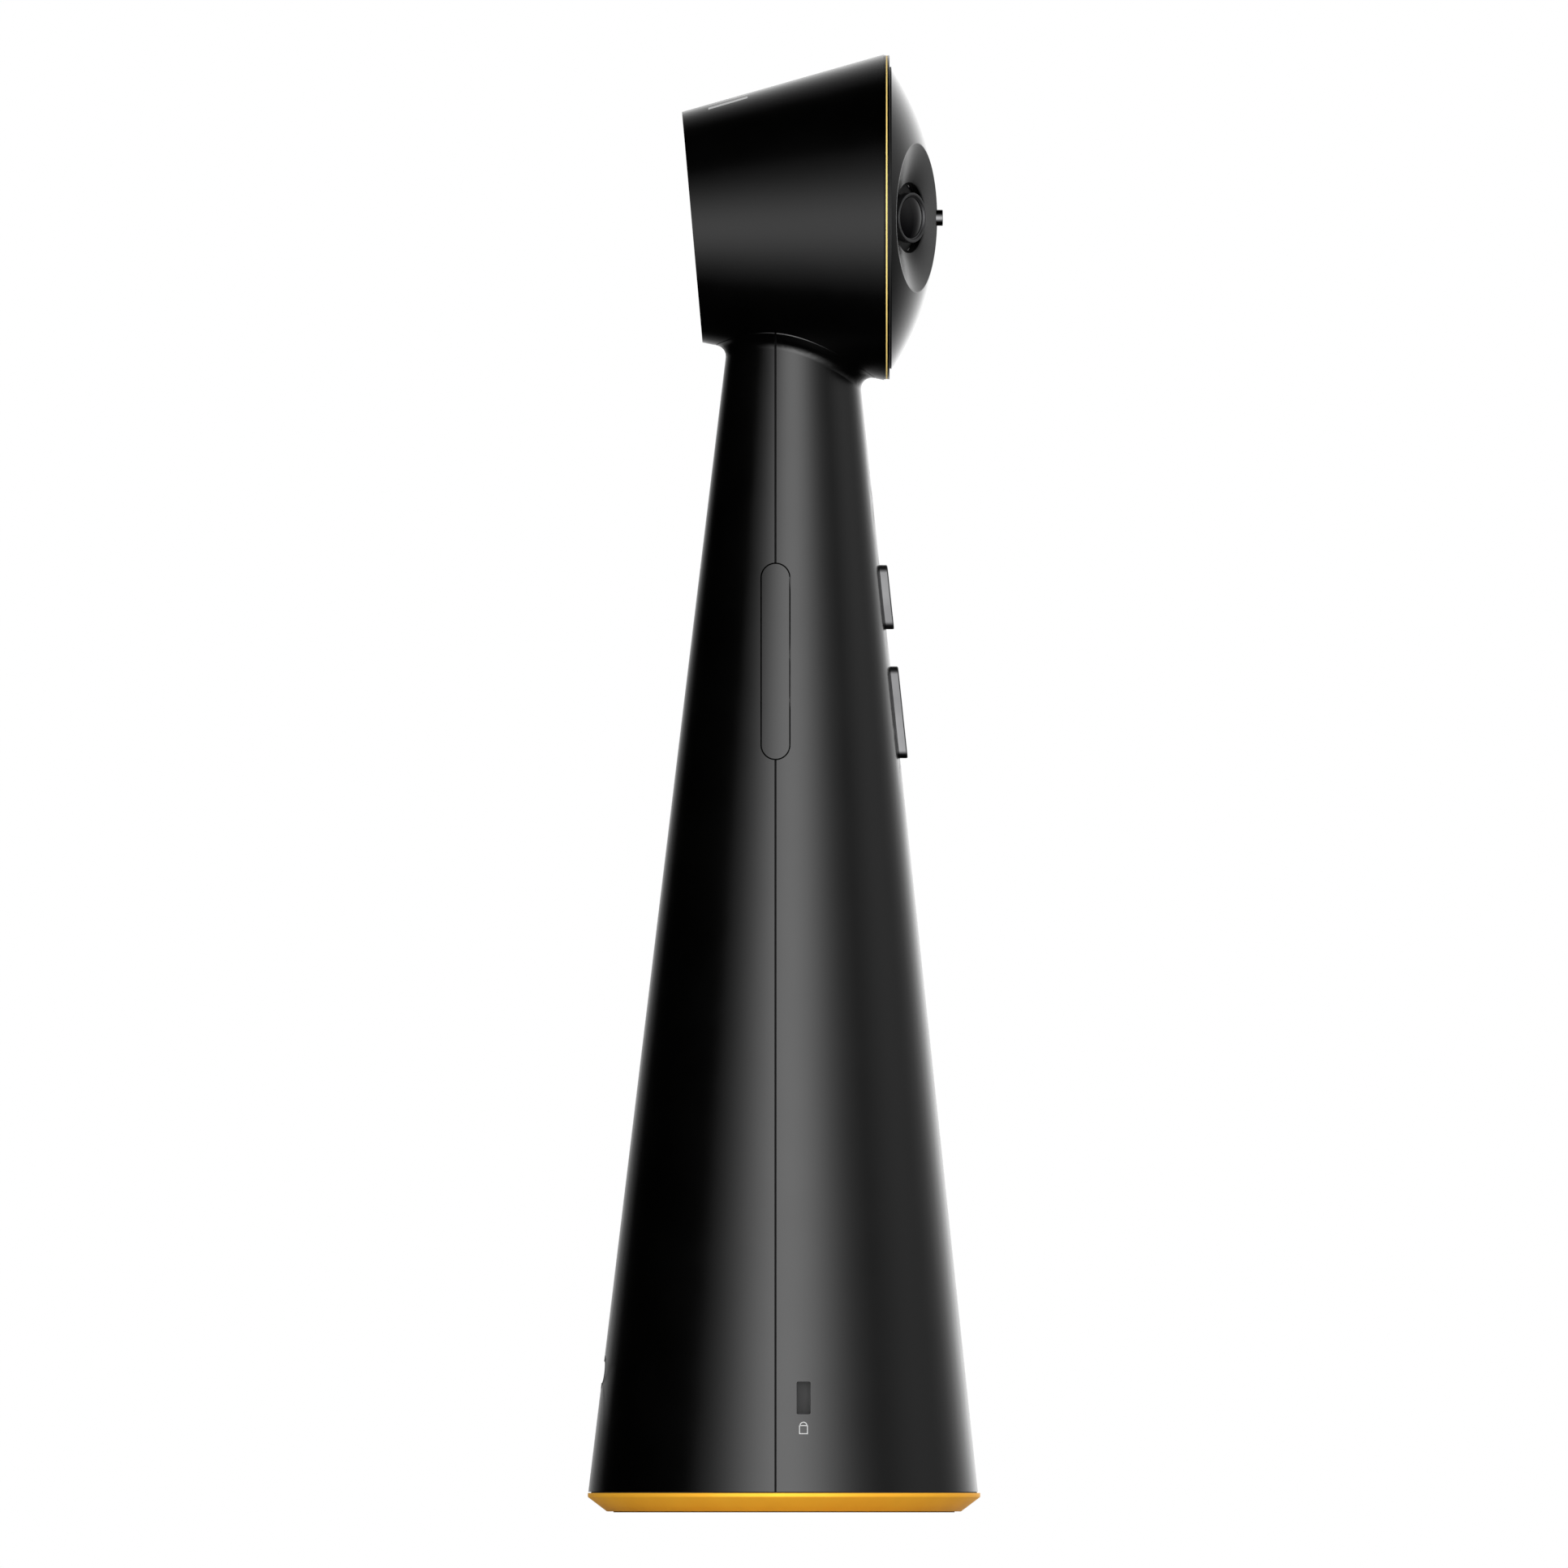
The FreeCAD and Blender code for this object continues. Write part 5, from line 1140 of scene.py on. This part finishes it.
@dataclass
class Dome(Assembly):
    """The front cover: a shallow dome with a skirt, and two bowls that lead to the lens openings."""

    sphere_r: float = 58.5
    sphere_x: float = -25.7
    base_x: float = 22.9
    rim_rounding: float = 0.08
    wall: float = 1.8
    skirt_r: float = 29.2
    skirt_inner_r: float = 27.6
    skirt_x: float = 11.5
    hole_r: float = INDICATOR_NECK_R + CLEARANCE
    bowl_r: float = 15.95
    bowl_turn: float = 15.9
    bowl_centre: Pair = (28.43, -15.42)
    bowl_slope: float = 12.0
    bowl_facing: float = 0.3
    ridge_r: float = 0.8
    ridge_overlap: float = 3.0
    opening_r: float = 7.53
    opening_turn: float = 24.9
    opening_centre: Pair = LENS_CENTRE
    opening_depth: float = 5.0
    lip_r: float = 0.25
    clear: float = 8.0
    overrun: float = 1.0
    pole_angle: float = 89.5
    shade_angle: float = 20.0
    gasket_r: Pair = (29.45, 32.3)
    gasket_x: float = 22.6

    def build(self) -> None:
        """Makes the dome and the gasket behind its rim."""
        cover = self._solid()
        hollow = self._hollow()
        for side in Side:
            carve(hollow, self._bowl_wall(side))
        carve(cover, hollow)
        for side in Side:
            carve(cover, self._bowl(side))
        cover.name = "dome"
        settle(cover)
        smooth(cover, self.shade_angle)
        centre = Vector((self.sphere_x, 0.0, DOME_AXIS_Z)) * MM
        ball = Ball(centre, self.sphere_r * MM)
        polish(cover, ball, reach=0.02, lean=5.0)
        self.hand_over(cover, "dome_black", "dome_cover")
        # The bowls' faces get the duller black: their rougher real finish, plus painted shade (low
        # sheen) and painted fill light (lifted grey).
        cover.data.materials.append(self.shop.material("bowl_shade_and_fill"))
        for polygon in cover.data.polygons:
            in_front = polygon.center.x > self.base_x * MM and polygon.normal.x > self.bowl_facing
            if in_front and ball.gap(polygon.center) > OFF_SKIN * MM:
                polygon.material_index = 1
        self.hand_over(self._gasket(), "carrier_black")

    def _gasket(self) -> Piece:
        """Turns the flat gasket between the trim and the dome's rim.

        Returns:
            The gasket.
        """
        inner, outer = self.gasket_r
        lathe = Lathe("dome_gasket", inner, self.gasket_x)
        lathe.to((outer, self.gasket_x), (outer, self.base_x), (inner, self.base_x)).close()
        lathe.soften(self.rim_rounding, 2, (outer, self.gasket_x), (outer, self.base_x))
        return lathe.level(DOME_AXIS_Z)

    def _solid(self) -> Piece:
        """Turns the dome and its skirt, bored for the indicator but not hollowed.

        Returns:
            The solid dome.
        """
        small = self.rim_rounding
        rim_x = self.base_x + small
        rim_r = math.sqrt((self.sphere_r - small) ** 2 - (rim_x - self.sphere_x) ** 2)
        tangent = math.degrees(math.atan2(rim_x - self.sphere_x, rim_r))
        top = math.degrees(math.acos(self.hole_r / self.sphere_r))
        lathe = Lathe("dome_solid", self.hole_r, self.skirt_x)
        lathe.arc((0.0, self.sphere_x), self.sphere_r, top, tangent, steps=44)
        lathe.arc((rim_r, rim_x), small, tangent, -90.0, steps=6)
        lathe.to((self.skirt_r, self.base_x), (self.skirt_r, self.skirt_x)).close()
        return lathe.aim((0.0, 0.0, DOME_AXIS_Z), 0.0)

    def _hollow(self) -> Piece:
        """Turns the space inside the dome and its skirt.

        Returns:
            The space.
        """
        radius = self.sphere_r - self.wall
        start = math.degrees(math.acos(self.skirt_inner_r / radius))
        lathe = Lathe("dome_hollow", self.skirt_inner_r, self.skirt_x - self.overrun, filled=True)
        lathe.arc((0.0, self.sphere_x), radius, start, self.pole_angle, steps=24).cap()
        return lathe.aim((0.0, 0.0, DOME_AXIS_Z), 0.0)

    def _bowl_wall(self, side: Side) -> Piece:
        """Makes the mass behind one bowl, which the hollow leaves standing.

        Args:
            side: the side of the bowl.

        Returns:
            The mass.
        """
        inner = Lathe("wall_inner", self.opening_r + self.wall / 2, 0.0).cap()
        centre = shifted(self.opening_centre, self.bowl_turn, -self.wall)
        lower = side.aim(inner, centre, self.opening_turn)
        outer = Lathe("wall_outer", self.bowl_r + self.wall / 2, 0.0)
        outer.to((self.bowl_r + self.wall / 2, self.clear)).cap()
        centre = shifted(self.bowl_centre, self.bowl_turn, -self.wall)
        upper = side.aim(outer, centre, self.bowl_turn)
        return bridge(lower, upper, cuts=1)

    def _bowl(self, side: Side) -> Piece:
        """Makes the space of one bowl and its lens opening, with a rounded ridge and lip.

        Args:
            side: the side of the bowl.

        Returns:
            The space.
        """
        lip, ridge = self.lip_r, self.ridge_r
        slope = 90.0 + self.bowl_slope
        across, along = math.cos(math.radians(slope)), math.sin(math.radians(slope))
        low = Lathe("bowl_low", self.opening_r + lip + lip * across, lip * along - lip)
        low.arc((self.opening_r + lip, -lip), lip, slope, 180.0, steps=7)
        low.to((self.opening_r, -self.opening_depth)).cap()
        lower = side.aim(low, self.opening_centre, self.opening_turn)
        fall = math.degrees(math.asin(self.bowl_r / self.sphere_r))
        sink = ridge / math.cos(math.radians((fall + self.bowl_slope) / 2))
        high = Lathe("bowl_high", self.bowl_r + ridge * across, ridge * along - sink)
        high.arc((self.bowl_r, -sink), ridge, slope, 90.0 + self.ridge_overlap - fall, steps=8)
        rim_r = self.bowl_r + self.overrun
        high.to((rim_r, ridge), (rim_r, self.clear)).cap()
        upper = side.aim(high, self.bowl_centre, self.bowl_turn)
        return bridge(lower, upper, cuts=12)


# Lenses

@dataclass
class Lenses(Assembly):
    """The two lenses: a stepped ring and a domed front element."""

    turn: float = 33.7
    centre: Pair = LENS_CENTRE
    proud: float = 0.77
    ring_r: float = 5.35
    ring_bore_r: float = 4.4
    ring_length: float = 1.6
    glass_r: float = 4.35
    step_r: Pair = (4.66, 4.78)
    step_z: Pair = (-0.42, -0.32)
    step_rounding: float = 0.09
    glass_rise: float = 0.75
    glass_top: float = 0.42
    pole_angle: float = 89.7
    shade_angle: float = 32.0

    def build(self) -> None:
        """Makes both lenses."""
        for side in Side:
            word = side.name.lower()
            ring = self._place(self._ring(f"lens_rim_{word}"), side)
            self.hand_over(ring, "lens_ring_metal", f"lens_ring_{word}")
            glass = self._place(self._glass(f"front_element_{word}"), side)
            self.hand_over(glass, "lens_glass", f"lens_glass_{word}")

    def _place(self, lathe: Lathe, side: Side) -> Piece:
        """Puts a turned piece on one lens's axis, with height 0 at the ring's front.

        Args:
            lathe: the turned piece.
            side: the side of the lens.

        Returns:
            The piece.
        """
        piece = side.aim(lathe, shifted(self.centre, self.turn, self.proud), self.turn)
        smooth(piece, self.shade_angle)
        return piece

    def _ring(self, name: str) -> Lathe:
        """Turns the ring, with a step down to the glass.

        Args:
            name: the piece's name.

        Returns:
            The lathe with the ring on it.
        """
        face = ((self.step_r[1], 0.0), (self.ring_r, 0.0))
        step = ((self.ring_bore_r, self.step_z[0]), (self.step_r[0], self.step_z[1]))
        lathe = Lathe(name, self.ring_bore_r, -self.ring_length)
        lathe.to(*step, *face, (self.ring_r, -self.ring_length)).close()
        return lathe.soften(self.step_rounding, 3, *face, *step)

    def _glass(self, name: str) -> Lathe:
        """Turns the front element, domed in front and flat behind.

        Args:
            name: the piece's name.

        Returns:
            The lathe with the glass on it.
        """
        sphere_r = (self.glass_r ** 2 + self.glass_rise ** 2) / (2 * self.glass_rise)
        start = math.degrees(math.acos(self.glass_r / sphere_r))
        lathe = Lathe(name, self.glass_r, -self.ring_length, filled=True, segments=SMALL_SIDES)
        lathe.arc((0.0, self.glass_top - sphere_r), sphere_r, start, self.pole_angle, steps=20)
        return lathe.cap()


# Small turned parts

@dataclass
class SmallParts(Assembly):
    """The camera-on indicator at the dome's middle and the threaded insert in the foot."""

    indicator_r: float = 1.75
    indicator_head_x: float = 32.55
    indicator_edge: float = 0.12
    insert_r: float = 6.0
    insert_z: Pair = (0.6, 10.4)
    thread_r: float = 3.175
    thread_depth: float = 0.6
    thread_pitch: float = 1.27
    thread_profile: Triple = (0.15, 0.55, 0.65)
    thread_count: int = 7
    thread_shade_angle: float = 25.0
    mouth_chamfer: float = 0.3

    def build(self) -> None:
        """Makes both parts."""
        self.hand_over(self._indicator(), "indicator_black", "indicator_lens")
        self.hand_over(self._insert(), "brass", "tripod_insert")

    def _indicator(self) -> Piece:
        """Turns the indicator: a polished head with a rounded edge, on a neck in the dome's ridge.

        Mirror and shadow rays pass it by, because the real bowls show no dark image of it.

        Returns:
            The indicator.
        """
        low, high = (corner[0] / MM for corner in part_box("indicator_lens"))
        lathe = Lathe("indicator", INDICATOR_NECK_R, low, filled=True, segments=SMALL_SIDES)
        lathe.to((INDICATOR_NECK_R, self.indicator_head_x), (self.indicator_r, self.indicator_head_x),
                 (self.indicator_r, high)).cap()
        lathe.soften(self.indicator_edge, 4, (self.indicator_r, high))
        piece = lathe.level(DOME_AXIS_Z)
        piece.visible_glossy = False
        piece.visible_shadow = False
        return piece

    def _insert(self) -> Piece:
        """Turns the insert with the ridges of its thread.

        Returns:
            The insert.
        """
        bottom, top = self.insert_z
        root, crest = self.thread_r, self.thread_r - self.thread_depth
        crest_end, root_start, root_end = (part * self.thread_pitch for part in self.thread_profile)
        start = bottom + self.thread_count * self.thread_pitch
        lathe = Lathe("threaded_insert", crest, start, filled=True, segments=SMALL_SIDES)
        for i in range(self.thread_count):
            z = start - i * self.thread_pitch
            lathe.to((crest, z - crest_end), (root, z - root_start), (root, z - root_end))
            if i < self.thread_count - 1:
                lathe.to((crest, z - self.thread_pitch))
        outer = self.insert_r
        lathe.to((root + self.mouth_chamfer, bottom), (outer, bottom), (outer, top)).cap()
        return lathe.upright(self.thread_shade_angle)


# Carried-over nodes

def dress_nodes(shop: FinishShop) -> None:
    """Gives every CAD node the material of its slot.

    Args:
        shop: where the materials come from.
    """
    for subpart in frame["record"]["subparts"]:
        shop.dress(frame["nodes"][subpart["node"]], subpart["material_slot"])
        log.info("dressed %s", subpart["node"])


def main() -> None:
    """Builds the whole visual model."""
    logging.basicConfig(level=logging.INFO)
    studio = Studio()
    studio.set_camera()
    studio.light()
    studio.lay_floor()
    shop = FinishShop()
    dress_nodes(shop)
    for assembly in (Stem, Keys, Head, Dome, Lenses, SmallParts):
        assembly(shop).build()


if __name__ == "__main__":
    main()
